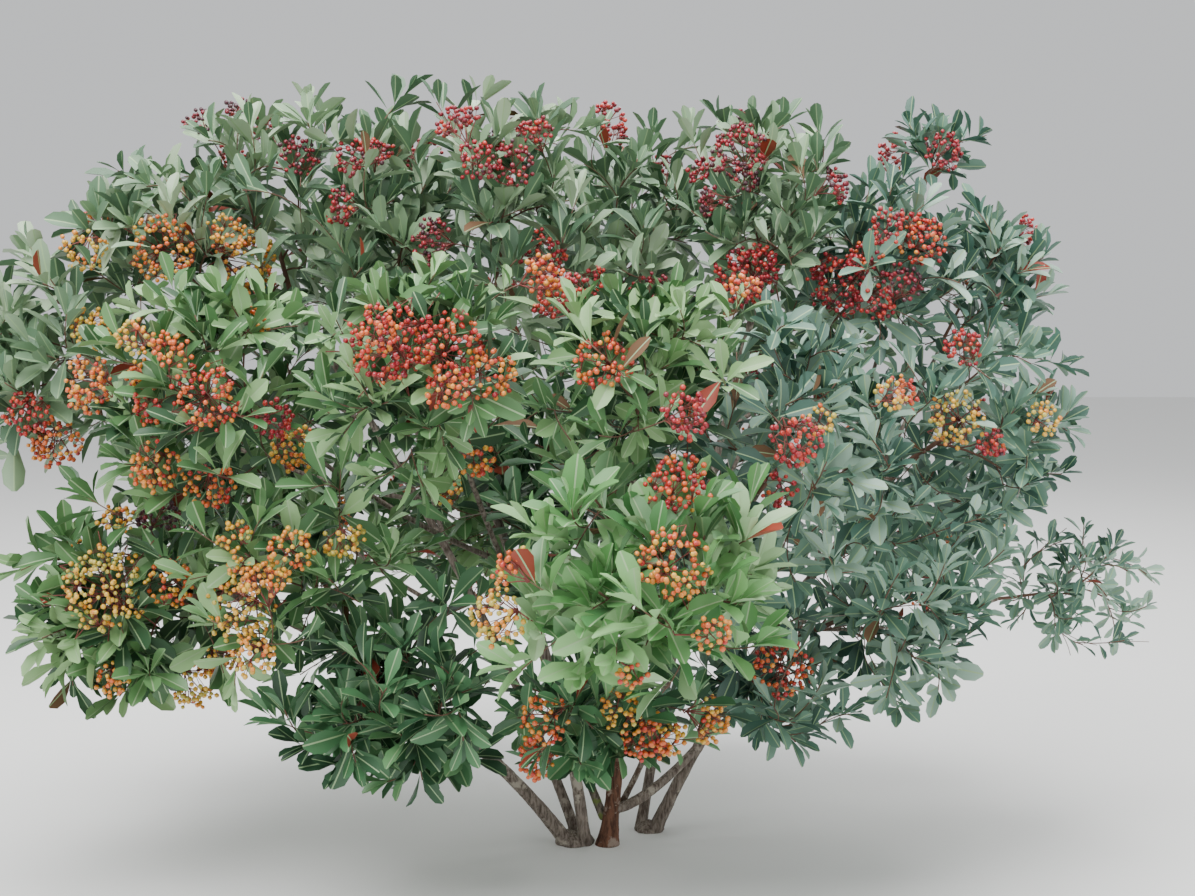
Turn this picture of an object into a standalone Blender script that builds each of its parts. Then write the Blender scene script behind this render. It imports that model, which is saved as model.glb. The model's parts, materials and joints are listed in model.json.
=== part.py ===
"""A toyon shrub, rooted in the ground: stems, boughs and masses of leaves and berries.

Metres, +Z up, +X to the right and +Y away from the viewer. The origin is the middle of the
flat cut under the main stem. Each stem, bough and mass is one closed solid, and each starts
a hair clear of the piece that carries it.
"""

import math
import random
from collections import namedtuple

import bmesh
import bpy
from mathutils import Matrix, Vector
from mathutils.bvhtree import BVHTree

UP = Vector((0, 0, 1))
GROWTH_SEED = 100

# Clearances
GAP = 0.0003  # between a piece and the one that carries it
MASS_MARGIN = 0.0015  # each mass keeps this far from the plane to its neighbour
LIMB_MARGIN = 0.0015  # leaves and twigs keep this far from every limb

# Limbs
STEM_SIDES = 8
STEM_RINGS = 7
BOUGH_SIDES = 5
BOUGH_RINGS = 4
RING_CROWDING = 1.6  # how much a stem's rings crowd towards its swollen foot
SWELL_HEIGHT = 0.035  # that swelling fades over this height
BOUGH_TAPER = 0.72  # a bough's tip to its foot
BOUGH_TO_PARENT = 0.66  # a bough's foot radius to its parent's there
THICKEST_SPRIG_BOUGH = 0.0042
BOUGH_ENTRY = 0.86  # a bough ends at this share of the way out through its mass
ROOT_FLARE_SIDES = 12
ROOT_FLARE_TOP = 0.94  # its top's size to its foot's

# Leaves, larger than life because each stands for several of the plant's 80 mm leaves
LEAF_LENGTH = 0.160
LEAF_WIDTH = 0.084
LEAF_THICKNESS = 0.0034
LEAF_WIDEST = 0.58  # share of the length, from the foot
SHORTEST_LEAF = 0.55  # a leaf that doesn't fit is shortened down to this share
LEAF_STEP = 0.006  # along a twig from one leaf's foot to the next
LEAVES_ROUND = 3  # leaves round each twig's tip, with one more in line with it
LEAN = (0.85, 1.30)  # radians from a twig's direction to the leaves round it
LEAF_TRIES = 14  # turns tried for a leaf that doesn't fit, before it is left out
SHORTER_EACH_TRY = 0.035
TURN_EACH_TRY = 0.04  # radians
LEADER_LEAN_EACH_TRY = 0.05  # radians
LEADER_LENGTH = 1.1  # the leaf in line with the twig, to TIP_DEPTH
LENGTHS = (0.95, 1.05)  # a leaf's length varies by this much
FACE_LIFT = 0.6  # how far a leaf's face turns up from its twig's direction
NEARLY_ALIGNED = 0.97  # a leaf this nearly in line with that face turns its side to it
LIFT_OF_TWIG = 0.35  # how far a mass's lift turns its twigs' ends up
LIFT_OF_LEAF = 0.20  # and how far it turns each leaf up

# Twigs
TWIG_SIDES = 3
TWIG_FOOT_RADIUS = 0.0052
TWIG_TIP_RADIUS = 0.0024
TWIG_TAPER = 0.8  # of a mass's own stem
TWIG_TO_PARENT = 0.55
SHORTEST_TWIG = 0.012
TIP_DEPTH = 0.085  # a twig ends this far inside its mass's surface
NEAREST_TIP = 0.12  # and no nearer the mass's middle than this share of the way out
STEM_REACH = 0.60  # a mass's own stem runs this far from its foot to the mass's middle
STEM_FORKS = (0.45, 0.62, 0.79, 0.96)  # where twigs leave it, each place once
TWIG_FORKS = (0.30, 0.55, 0.80)  # and where they leave another twig
FORK_COST = 0.35  # how much a twig prefers a fork near the foot to one near its tip
GOLDEN_ANGLE = math.pi * (3 - math.sqrt(5))

# The smaller core that a dense mass's leaves stand out of
CORE_SHARES = (0.54, 0.48, 0.42, 0.36)  # of the mass's size: the largest that fits is used

# Berry bunches, each one lump with the outer size of the real bunch
BUNCH_RADIUS = 0.036
BUNCH_FLATNESS = 0.72
BUNCH_DEPTH = 1.15  # radii from the mass's surface to the bunch's middle

TINY = 1e-6

# Colours are sRGB
BARK = "6F6459"
BARK_RED = "6B4A3E"
BARK_MOSSY = "6F7650"
BARK_DEAD = "8D8375"
GREEN = "3F6B3C"
TEAL = "4C6F5D"
BRIGHT = "6FA05A"
BARK_ROUGHNESS = 0.85
LEAF_ROUGHNESS = 0.55

Flare = namedtuple("Flare", "name middle half_sizes height")
ROOT_FLARES = (
    Flare("root_flare_left", (-0.0530, 0.0110), (0.0400, 0.0330), 0.014),
    Flare("root_flare_right", (0.0745, 0.0790), (0.0250, 0.0230), 0.012),
)

# A stem from the ground runs from its foot towards one point and bends to end at its tip
Stem = namedtuple("Stem", "name foot heading tip foot_radius tip_radius swell bark")
STEMS = (
    Stem("stem_main", (0, 0, 0), (0.045, -0.005, 0.36), (0.045, 0.07, 0.93), 0.0135, 0.0062, 0.65, BARK_RED),
    Stem(
        "stem_far_left", (-0.078, -0.002, 0.014), (-0.262, -0.085, 0.29), (-0.61, -0.205, 0.48),
        0.0118, 0.006, 0.13, BARK,
    ),
    Stem(
        "stem_left", (-0.057, 0.029, 0.014), (-0.2, 0.085, 0.42), (-0.55, 0.13, 0.93),
        0.009, 0.0052, 0.2, BARK,
    ),
    Stem(
        "stem_mid_left", (-0.041, -0.004, 0.014), (-0.078, -0.035, 0.4), (-0.34, 0.01, 0.89),
        0.0105, 0.0056, 0.15, BARK,
    ),
    Stem(
        "stem_right", (0.061, 0.088, 0.012), (0.125, 0.135, 0.4), (0.25, 0.035, 0.93),
        0.0092, 0.0055, 0.15, BARK,
    ),
    Stem(
        "stem_far_right", (0.088, 0.07, 0.012), (0.215, 0.055, 0.3), (0.49, -0.04, 0.665),
        0.0108, 0.006, 0.2, BARK,
    ),
)

# A stem from another stem's side, at a place from 0 at its foot to 1 at its tip. The tip is a
# point, or a stem and the place on its side that this one meets
SideStem = namedtuple("SideStem", "name parent place heading tip foot_radius tip_radius bark")
SIDE_STEMS = (
    SideStem(
        "stem_mossy", "stem_main", 0.062, (-0.095, 0.06, 0.25), (-0.2, 0.34, 0.49),
        0.0078, 0.0048, BARK_MOSSY,
    ),
    SideStem(
        "stem_crossing", "stem_main", 0.09, (0.08, -0.004, 0.086), ("stem_far_right", 0.25),
        0.009, 0.0075, BARK,
    ),
    SideStem(
        "dead_stub", "stem_main", 0.075, (0.043, 0.036, 0.095), (0.065, 0.046, 0.143),
        0.0058, 0.005, BARK_DEAD,
    ),
)

# A mass of leaves: its middle and half sizes, the limb that carries it and the place on it
# (1 is its tip), how far its bough sags (None where it has no bough), its shoots and berry
# bunches, how far its leaves lift, and their colour
Mass = namedtuple("Mass", "name middle half_sizes limb place sag shoots bunches lift colour")
MASSES = (
    Mass("left_shoulder", (-0.75, 0, 1.02), (0.15, 0.16, 0.155), "stem_left", 0.8, 0.05, 6, 1, 0.9, GREEN),
    Mass("top_left", (-0.59, 0.11, 1.095), (0.145, 0.16, 0.195), "stem_left", 1, None, 6, 1, 1, GREEN),
    Mass("left_tip", (-0.92, -0.05, 0.84), (0.145, 0.16, 0.185), "stem_left", 0.66, 0.06, 6, 2, 0.5, GREEN),
    Mass("left_mid", (-0.61, -0.31, 0.81), (0.185, 0.175, 0.18), "stem_mid_left", 0.58, 0.04, 6, 1, 0.3, GREEN),
    Mass("left_low", (-0.765, -0.22, 0.465), (0.195, 0.17, 0.165), "stem_far_left", 1, None, 6, 2, 0.1, GREEN),
    Mass("left_inner", (-0.465, -0.335, 0.56), (0.17, 0.17, 0.155), "stem_far_left", 0.62, 0.03, 6, 1, 0.1, GREEN),
    Mass("top_mid_left", (-0.37, 0.05, 1.07), (0.13, 0.16, 0.215), "stem_mid_left", 1, None, 6, 1, 1.1, GREEN),
    Mass("top_middle", (-0.165, -0.01, 1.1), (0.125, 0.16, 0.205), "stem_mid_left", 0.8, 0.02, 5, 1, 1.1, GREEN),
    Mass("top_mid_right", (0.06, 0.11, 1.06), (0.13, 0.16, 0.185), "stem_main", 1, None, 6, 1, 1, GREEN),
    Mass("top_right", (0.265, 0.01, 1.09), (0.13, 0.16, 0.195), "stem_right", 1, None, 6, 1, 0.9, TEAL),
    Mass("top_far_right", (0.46, -0.01, 0.99), (0.115, 0.16, 0.175), "stem_right", 0.8, 0.05, 6, 1, 0.6, TEAL),
    Mass("sprig", (0.575, 0.16, 1.2), (0.112, 0.1, 0.114), "stem_far_right", 0.74, 0.03, 4, 0, 0.7, TEAL),
    Mass("right_shoulder", (0.64, 0.12, 0.975), (0.135, 0.16, 0.145), "stem_far_right", 0.84, 0.03, 5, 1, 0.4, TEAL),
    Mass("right_mid", (0.605, -0.08, 0.75), (0.175, 0.18, 0.175), "stem_far_right", 1, None, 6, 2, 0.2, TEAL),
    Mass("right_low", (0.45, -0.2, 0.47), (0.165, 0.17, 0.175), "stem_far_right", 0.52, None, 6, 0, 0, TEAL),
    Mass("right_tail", (0.81, 0, 0.45), (0.165, 0.14, 0.13), "stem_far_right", 0.6, 0.05, 5, 0, 0.1, TEAL),
    Mass("right_inner", (0.265, -0.18, 0.38), (0.14, 0.15, 0.16), "stem_far_right", 0.36, None, 5, 1, 0, TEAL),
    Mass("right_front", (0.285, -0.41, 0.75), (0.165, 0.16, 0.175), "stem_main", 0.42, 0.05, 6, 1, 0.3, TEAL),
    Mass("front_left", (-0.26, -0.49, 0.86), (0.165, 0.16, 0.15), "stem_mid_left", 0.46, 0.05, 6, 1, 0.5, GREEN),
    Mass("front_middle", (0.04, -0.47, 0.84), (0.16, 0.16, 0.15), "stem_main", 0.52, 0.05, 6, 1, 0.5, GREEN),
    Mass("front_spray", (0.045, -0.61, 0.575), (0.225, 0.19, 0.165), "stem_main", 0.3, 0.04, 7, 1, 0.6, BRIGHT),
    Mass("low_left", (-0.325, -0.36, 0.36), (0.18, 0.16, 0.155), "stem_far_left", 0.4, None, 6, 0, 0, GREEN),
    Mass("low_front", (-0.01, -0.38, 0.36), (0.165, 0.15, 0.13), "stem_main", 0.2, None, 6, 1, 0.1, GREEN),
    Mass("heart", (-0.09, -0.13, 0.66), (0.2, 0.16, 0.21), "stem_main", 0.46, None, 5, 0, 0.2, GREEN),
    Mass("back_top_left", (-0.42, 0.39, 0.95), (0.215, 0.19, 0.205), "stem_left", 0.56, 0.05, 6, 1, 0.8, GREEN),
    Mass("back_top", (-0.03, 0.41, 0.97), (0.205, 0.19, 0.21), "stem_main", 0.62, 0.05, 6, 0, 0.8, GREEN),
    Mass("back_top_right", (0.36, 0.37, 0.93), (0.205, 0.19, 0.205), "stem_right", 0.6, 0.05, 6, 1, 0.7, TEAL),
    Mass("back_left", (-0.68, 0.29, 0.62), (0.21, 0.21, 0.225), "stem_left", 0.42, 0.04, 6, 0, 0.3, GREEN),
    Mass("back_mid_left", (-0.28, 0.51, 0.56), (0.23, 0.21, 0.22), "stem_mossy", 1, None, 6, 1, 0.2, GREEN),
    Mass("back_mid_right", (0.18, 0.51, 0.54), (0.23, 0.21, 0.22), "stem_right", 0.3, None, 6, 0, 0.2, TEAL),
    Mass("back_right", (0.59, 0.32, 0.6), (0.215, 0.21, 0.225), "stem_far_right", 0.4, 0.03, 6, 0, 0.3, TEAL),
)
OPEN_MASSES = ("sprig", "right_tail")  # sparse enough to see through, so they have no core


def linear(hex_colour):
    """The linear RGBA of an sRGB hex colour."""
    channels = [int(hex_colour[i : i + 2], 16) / 255 for i in (0, 2, 4)]
    return [c / 12.92 if c <= 0.04045 else ((c + 0.055) / 1.055) ** 2.4 for c in channels] + [1]


def material(name, colour, roughness):
    """A plain Principled material, made for one object."""
    made = bpy.data.materials.new(name)
    made.use_nodes = True
    shader = made.node_tree.nodes["Principled BSDF"]
    shader.inputs["Base Color"].default_value = linear(colour)
    shader.inputs["Roughness"].default_value = roughness
    made.diffuse_color = linear(colour)
    return made


def mesh_object(name, points, faces):
    """A mesh object made of these points and faces."""
    mesh = bpy.data.meshes.new(name)
    mesh.from_pydata([tuple(point) for point in points], [], faces)
    mesh.update()
    made = bpy.data.objects.new(name, mesh)
    bpy.context.scene.collection.objects.link(made)
    return made


def tube_faces(sides, rings):
    """The faces of a tube with closed ends, whose points are listed ring by ring."""
    last = (rings - 1) * sides
    faces = [tuple(reversed(range(sides))), tuple(range(last, last + sides))]
    for ring in range(0, last, sides):
        for i in range(sides):
            j = (i + 1) % sides
            faces.append((ring + i, ring + j, ring + sides + j, ring + sides + i))
    return faces


# Limbs


class Limb:
    """One tapering limb: rings of points along a bend, with both ends flat."""

    def __init__(self, name, foot, heading, tip, radii, sides, rings, foot_cut=None, tip_cut=None, swell=0.0):
        self.name = name
        self.sides = sides
        foot, heading, tip = Vector(foot), Vector(heading), Vector(tip)
        crowding = RING_CROWDING if swell else 1.0
        self.places = [(i / (rings - 1)) ** crowding for i in range(rings)]
        self.line = []
        self.radii = []
        self.rings = []
        across = (heading - foot).orthogonal()
        for place in self.places:
            middle = foot * (1 - place) ** 2 + heading * 2 * place * (1 - place) + tip * place**2
            along = ((heading - foot) * (1 - place) + (tip - heading) * place).normalized()
            swelling = swell * radii[0] * math.exp(-place * (tip - foot).length / SWELL_HEIGHT)
            radius = radii[0] + (radii[1] - radii[0]) * place + swelling
            across = (across - along * across.dot(along)).normalized()
            cut = {0.0: foot_cut, 1.0: tip_cut}.get(place)
            self.line.append(middle)
            self.radii.append(radius)
            self.rings.append(ring_points(middle, along, across, radius, sides, cut))
        self.end_direction = along

    def at(self, place):
        """The middle, the direction and the ring of points at a place from 0 to 1."""
        i = max(k for k, start in enumerate(self.places[:-1]) if start <= place)
        share = (place - self.places[i]) / (self.places[i + 1] - self.places[i])
        middle = self.line[i].lerp(self.line[i + 1], share)
        ring = [a.lerp(b, share) for a, b in zip(self.rings[i], self.rings[i + 1])]
        return middle, (self.line[i + 1] - self.line[i]).normalized(), ring

    def radius_at(self, place):
        """The distance from its line to its corners at a place from 0 to 1."""
        middle, _, ring = self.at(place)
        return max((point - middle).length for point in ring)

    def side_seat(self, place, towards, child_radius):
        """Where a child starts on this limb's side, a hair clear of it, and the side's normal."""
        middle, along, _ = self.at(place)
        out = Vector(towards) - middle
        out = (out - along * out.dot(along)).normalized()
        length = sum((b - a).length for a, b in zip(self.line, self.line[1:]))
        reach = 2 * child_radius / length
        low, high = max(place - reach, 0), min(place + reach, 1)
        near = [low, place, high] + [ring for ring in self.places if low < ring < high]
        height = max((point - middle).dot(out) for spot in near for point in self.at(spot)[2])
        return middle + out * (height + GAP), out

    def tip_seat(self):
        """Where a child starts past this limb's flat tip, and the tip's normal."""
        return self.line[-1] + self.end_direction * GAP, self.end_direction

    def segments(self):
        """(start, end, larger radius) of each stretch."""
        return [(a, b, radius) for a, b, radius in zip(self.line, self.line[1:], self.radii)]

    def solid(self):
        """Its points and faces."""
        return [point for ring in self.rings for point in ring], tube_faces(self.sides, len(self.rings))


def ring_points(middle, along, across, radius, sides, cut=None):
    """A ring square to a limb or, where a normal is given, cut to that plane."""
    side = along.cross(across)
    ring = []
    for i in range(sides):
        angle = 2 * math.pi * i / sides
        point = middle + (across * math.cos(angle) + side * math.sin(angle)) * radius
        if cut:
            point -= along * (point - middle).dot(cut) / along.dot(cut)
        ring.append(point)
    return ring


def grow_stems():
    """The stems by name."""
    limbs = {}
    for stem in STEMS:
        radii = (stem.foot_radius, stem.tip_radius)
        limbs[stem.name] = Limb(
            stem.name, stem.foot, stem.heading, stem.tip, radii, STEM_SIDES, STEM_RINGS,
            foot_cut=UP, swell=stem.swell,
        )
    for stem in SIDE_STEMS:
        foot, foot_cut = limbs[stem.parent].side_seat(stem.place, stem.heading, stem.foot_radius)
        tip, tip_cut = stem.tip, None
        if len(tip) == 2:
            other, place = tip
            tip, tip_cut = limbs[other].side_seat(place, stem.heading, stem.tip_radius)
        radii = (stem.foot_radius, stem.tip_radius)
        limbs[stem.name] = Limb(
            stem.name, foot, stem.heading, tip, radii, BOUGH_SIDES, BOUGH_RINGS,
            foot_cut=foot_cut, tip_cut=tip_cut,
        )
    return limbs


def grow_bough(mass, limb):
    """The bough from a limb's side to where it enters its mass."""
    middle = Vector(mass.middle)
    radius = limb.radius_at(mass.place) * BOUGH_TO_PARENT
    if mass.name in OPEN_MASSES:
        radius = min(radius, THICKEST_SPRIG_BOUGH)
    heading = limb.at(mass.place)[0].lerp(middle, 0.5) - UP * mass.sag
    foot, cut = limb.side_seat(mass.place, heading, radius)
    offset = foot - middle
    spread = math.sqrt(sum((offset[k] / mass.half_sizes[k]) ** 2 for k in range(3)))
    tip = middle + offset * (BOUGH_ENTRY / spread)
    heading = foot.lerp(tip, 0.5) - UP * mass.sag
    radii = (radius, radius * BOUGH_TAPER)
    return Limb("bough_" + mass.name, foot, heading, tip, radii, BOUGH_SIDES, BOUGH_RINGS, foot_cut=cut)


def grow_limbs():
    """Every stem and bough by name, and each mass's seat: its foot, the normal and the radius there."""
    limbs = grow_stems()
    seats = {}
    for mass in MASSES:
        limb = limbs[mass.limb]
        if mass.place < 1 and mass.sag is None:
            foot, normal = limb.side_seat(mass.place, mass.middle, TWIG_FOOT_RADIUS)
            seats[mass.name] = (foot, normal, TWIG_FOOT_RADIUS)
            continue
        if mass.place < 1:
            limb = grow_bough(mass, limb)
            limbs[limb.name] = limb
        seats[mass.name] = (*limb.tip_seat(), limb.radii[-1])
    return limbs, seats


def build_limb(limb):
    """The object of one stem or bough."""
    barks = {stem.name: stem.bark for stem in STEMS + SIDE_STEMS}
    made = mesh_object(limb.name, *limb.solid())
    made.data.materials.append(material(limb.name + "_bark", barks.get(limb.name, BARK), BARK_ROUGHNESS))


def build_root_flare(flare, main_stem):
    """A low swelling that stems rise from, flat above and below, and flat where it meets the main stem."""
    main_left = min(point.x for point in main_stem.rings[0])
    centre = Vector((*flare.middle, 0))
    foot = []
    for i in range(ROOT_FLARE_SIDES):
        angle = 2 * math.pi * i / ROOT_FLARE_SIDES
        wide, deep = flare.half_sizes
        point = centre + Vector((wide * math.cos(angle), deep * math.sin(angle), 0))
        if centre.x < main_left:
            point.x = min(point.x, main_left - GAP)
        foot.append(point)
    top = [centre.lerp(point, ROOT_FLARE_TOP) + UP * (flare.height - GAP) for point in foot]
    made = mesh_object(flare.name, foot + top, tube_faces(ROOT_FLARE_SIDES, 2))
    made.data.materials.append(material(flare.name + "_bark", BARK, BARK_ROUGHNESS))


# The room that each mass keeps to


def segment_distance(a, b, c, d):
    """The shortest distance between the lines from a to b and from c to d."""
    u, v, w = b - a, d - c, a - c
    uu, uv, vv, uw, vw = u.dot(u), u.dot(v), v.dot(v), u.dot(w), v.dot(w)
    det = uu * vv - uv * uv
    s = min(max((uv * vw - vv * uw) / det, 0), 1) if det > TINY**2 else 0.0
    t = (uv * s + vw) / vv if vv > TINY**2 else 0.0
    if t < 0 or t > 1:
        t = min(max(t, 0), 1)
        s = min(max((uv * t - uw) / uu, 0), 1) if uu > TINY**2 else 0.0
    return (w + u * s - v * t).length


def reach(way, half_sizes):
    """How far an ellipsoid reaches in a direction."""
    return math.sqrt(sum((way[k] * half_sizes[k]) ** 2 for k in range(3)))


class Room:
    """A mass's own space: its ellipsoid, cut by a plane towards each other mass, clear of the limbs."""

    def __init__(self, mass, limbs):
        self.middle = Vector(mass.middle)
        self.half_sizes = mass.half_sizes
        self.planes = []
        for other in MASSES:
            if other is mass:
                continue
            way = Vector(other.middle) - self.middle
            distance = way.length
            way.normalize()
            share = reach(way, mass.half_sizes) / (reach(way, mass.half_sizes) + reach(way, other.half_sizes))
            self.planes.append((way, distance * share - MASS_MARGIN))
        self.limb_lines = [segment for limb in limbs.values() for segment in limb.segments()]

    def holds(self, points):
        """Whether all these points lie in the room."""
        for point in points:
            offset = point - self.middle
            if sum((offset[k] / self.half_sizes[k]) ** 2 for k in range(3)) > 1:
                return False
            if any(offset.dot(way) > limit for way, limit in self.planes):
                return False
        return True

    def clear_of_limbs(self, start, end, half_width):
        """Whether a straight piece of this half width stays clear of every limb."""
        return all(
            segment_distance(start, end, a, b) > radius + half_width + LIMB_MARGIN
            for a, b, radius in self.limb_lines
        )

    def surface(self, way):
        """The furthest point of the room from its middle in this direction."""
        distance = 1 / math.sqrt(sum((way[k] / self.half_sizes[k]) ** 2 for k in range(3)))
        for plane_way, limit in self.planes:
            if way.dot(plane_way) > TINY:
                distance = min(distance, limit / way.dot(plane_way))
        return self.middle + way * distance


# Twigs, leaves, cores and berry bunches, each as (points, faces)


def twig(start, end, start_radius, end_radius, cut=None):
    """A three-sided twig between two points."""
    along = (end - start).normalized()
    across = along.orthogonal().normalized()
    points = ring_points(start, along, across, start_radius, TWIG_SIDES, cut)
    points += ring_points(end, along, across, end_radius, TWIG_SIDES)
    return points, tube_faces(TWIG_SIDES, 2)


def leaf(foot, way, face_up, length):
    """A leaf of six faces: flat below, with a low ridge above that gives it thickness."""
    side = way.cross(face_up).normalized()
    up = side.cross(way)
    widest = foot + way * length * LEAF_WIDEST
    half_width = side * (LEAF_WIDTH / 2 * length / LEAF_LENGTH)
    points = [foot, widest + half_width, widest + up * LEAF_THICKNESS, widest - half_width, foot + way * length]
    faces = [(0, 3, 1), (4, 1, 3), (0, 1, 2), (0, 2, 3), (4, 2, 1), (4, 3, 2)]
    return points, faces


def ball(middle, half_sizes, way):
    """A ball of twenty faces with these half sizes, its third axis turned to a direction."""
    made = bmesh.new()
    bmesh.ops.create_icosphere(made, subdivisions=1, radius=1)
    bmesh.ops.scale(made, vec=half_sizes, verts=made.verts)
    turn = way.to_track_quat("Z", "Y").to_matrix().to_4x4()
    bmesh.ops.transform(made, matrix=Matrix.Translation(middle) @ turn, verts=made.verts)
    points = [vertex.co.copy() for vertex in made.verts]
    faces = [tuple(vertex.index for vertex in face.verts) for face in made.faces]
    made.free()
    return points, faces


def crosses(piece, others):
    """Whether a piece cuts through any of the others."""
    tree = BVHTree.FromPolygons(*piece)
    return any(tree.overlap(BVHTree.FromPolygons(*other)) for other in others)


def core(mass, room, limbs):
    """The largest core that fits in the mass's room clear of every limb, or None."""
    if mass.name in OPEN_MASSES:
        return None
    limb_solids = [limb.solid() for limb in limbs.values()]
    for share in CORE_SHARES:
        lump = ball(room.middle, [size * share for size in mass.half_sizes], UP)
        wider = ball(room.middle, [size * share + LIMB_MARGIN * 2 for size in mass.half_sizes], UP)
        if room.holds(lump[0]) and not crosses(wider, limb_solids):
            return lump
    return None


# How a mass grows

Fork = namedtuple("Fork", "point radius path")
Shoot = namedtuple("Shoot", "fork tip way edge own")


def forks_along(start, end, radii, shares, path):
    """Where other twigs can leave this one, with the way back to the mass's foot from each."""
    length = (end - start).length
    return [
        Fork(start.lerp(end, share), radii[0] + (radii[1] - radii[0]) * share, path + length * share)
        for share in shares
    ]


def even_directions(count, rng):
    """Directions spread evenly over the sphere, in a random turn."""
    turn = rng.random() * 2 * math.pi
    for i in range(count):
        height = 1 - 2 * (i + 0.5) / count
        across = math.sqrt(1 - height * height)
        angle = turn + i * GOLDEN_ANGLE
        yield Vector((across * math.cos(angle), across * math.sin(angle), height))


def grow_mass(mass, seat, limbs):
    """The pieces of one mass: its core, stem, twigs, leaves and bunches."""
    rng = random.Random(GROWTH_SEED + MASSES.index(mass))
    room = Room(mass, limbs)
    foot, foot_normal, seat_radius = seat
    radii = (min(TWIG_FOOT_RADIUS, seat_radius), min(TWIG_FOOT_RADIUS, seat_radius) * TWIG_TAPER)
    hub = foot.lerp(room.middle, STEM_REACH)
    pieces = [twig(foot, hub, *radii, cut=foot_normal)]
    forks = forks_along(foot, hub, radii, STEM_FORKS, 0)
    shoots = grow_shoots(mass, room, foot, forks, pieces, rng)
    fruiting = grow_bunches(mass, room, shoots, pieces, rng)
    for shoot in shoots:
        others = [piece for i, piece in enumerate(pieces) if i != shoot.own and not starts_at(piece, shoot.tip)]
        pieces += grow_leaves(mass, room, shoot, shoot in fruiting, others, rng)
    lump = core(mass, room, limbs)
    return pieces + [lump] if lump else pieces


def grow_shoots(mass, room, foot, forks, pieces, rng):
    """Twigs to tips spread evenly under the mass's surface, each from the best free fork."""
    ends = []
    for way in even_directions(mass.shoots, rng):
        edge = room.surface(way)
        share = max(1 - TIP_DEPTH / (edge - room.middle).length, NEAREST_TIP)
        ends.append((room.middle.lerp(edge, share), way, edge))
    ends.sort(key=lambda end: (end[0] - foot).length)
    shoots = []
    for tip, way, edge in ends:
        fork = min(forks, key=lambda free: (tip - free.point).length + FORK_COST * free.path)
        radii = (max(fork.radius * TWIG_TO_PARENT, TWIG_TIP_RADIUS), TWIG_TIP_RADIUS)
        long_enough = (tip - fork.point).length > SHORTEST_TWIG
        if long_enough and room.clear_of_limbs(fork.point, tip, radii[0]):
            shoots.append(Shoot(fork.point, tip, way, edge, len(pieces)))
            pieces.append(twig(fork.point, tip, *radii))
            forks.remove(fork)
            forks += forks_along(fork.point, tip, radii, TWIG_FORKS, fork.path)
    return shoots


def grow_bunches(mass, room, shoots, pieces, rng):
    """Adds the mass's berry bunches past some shoots' tips, and returns those shoots."""
    fruiting = []
    for shoot in rng.sample(shoots, len(shoots)):
        middle = shoot.edge - shoot.way * (BUNCH_RADIUS * BUNCH_DEPTH)
        half_sizes = (BUNCH_RADIUS, BUNCH_RADIUS, BUNCH_RADIUS * BUNCH_FLATNESS)
        lump = ball(middle, half_sizes, shoot.way)
        wanted = len(fruiting) < mass.bunches and (middle - shoot.tip).length > BUNCH_RADIUS
        fits = wanted and room.holds(lump[0]) and room.clear_of_limbs(shoot.tip, middle, BUNCH_RADIUS)
        if fits and not crosses(lump, pieces):
            pieces += [twig(shoot.tip, middle, TWIG_TIP_RADIUS, TWIG_TIP_RADIUS), lump]
            fruiting.append(shoot)
    return fruiting


def starts_at(piece, point):
    """Whether a twig starts at this point."""
    foot = sum(piece[0][:TWIG_SIDES], Vector()) / TWIG_SIDES
    return len(piece[0]) == 2 * TWIG_SIDES and (foot - point).length < GAP


def grow_leaves(mass, room, shoot, fruiting, others, rng):
    """The leaves at one shoot's tip: one in line with it, unless it fruits, and the others round it."""
    back = (shoot.fork - shoot.tip).normalized()
    axis = (shoot.way + UP * mass.lift * LIFT_OF_TWIG).normalized()
    across = back.orthogonal().normalized()
    side = across.cross(back)
    face_up = (axis + UP * FACE_LIFT).normalized()
    pieces = []
    for turn in range(1 if fruiting else 0, LEAVES_ROUND + 1):
        foot = shoot.tip + back * (LEAF_STEP * (turn + 0.5))
        for attempt in range(LEAF_TRIES):
            swing = rng.uniform(-TURN_EACH_TRY, TURN_EACH_TRY) * attempt
            angle = (turn + 0.5) * 2 * math.pi / TWIG_SIDES + swing
            out = across * math.cos(angle) + side * math.sin(angle)
            out = (out - axis * out.dot(axis)).normalized()
            lean = rng.uniform(*LEAN) if turn else rng.uniform(0, LEADER_LEAN_EACH_TRY) * attempt
            way = axis * math.cos(lean) + out * math.sin(lean) + UP * mass.lift * LIFT_OF_LEAF
            way.normalize()
            length = LEAF_LENGTH * max(rng.uniform(*LENGTHS) - SHORTER_EACH_TRY * attempt, SHORTEST_LEAF)
            if turn == 0:
                length = min(length, TIP_DEPTH * LEADER_LENGTH)
            blade = leaf(foot, way, out if abs(face_up.dot(way)) > NEARLY_ALIGNED else face_up, length)
            half_width = LEAF_WIDTH / 2 * length / LEAF_LENGTH
            fits = room.holds(blade[0]) and room.clear_of_limbs(foot, blade[0][-1], half_width)
            if fits and not crosses(blade, others):
                pieces.append(blade)
                break
    return pieces


# How a mass's pieces become one solid


def connected_faces(shape):
    """The mesh's faces in sets, one for each connected piece."""
    left = set(shape.faces)
    groups = []
    while left:
        waiting = [left.pop()]
        group = []
        while waiting:
            face = waiting.pop()
            group.append(face)
            near = {other for edge in face.edges for other in edge.link_faces} & left
            left -= near
            waiting += near
        groups.append(group)
    return groups


def drop_scraps(made):
    """Keeps the mesh's largest connected piece, which drops loose scraps and fills sealed hollows."""
    shape = bmesh.new()
    shape.from_mesh(made.data)
    groups = sorted(connected_faces(shape), key=len)
    bmesh.ops.delete(shape, geom=[face for group in groups[:-1] for face in group], context="FACES")
    shape.to_mesh(made.data)
    shape.free()


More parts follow.
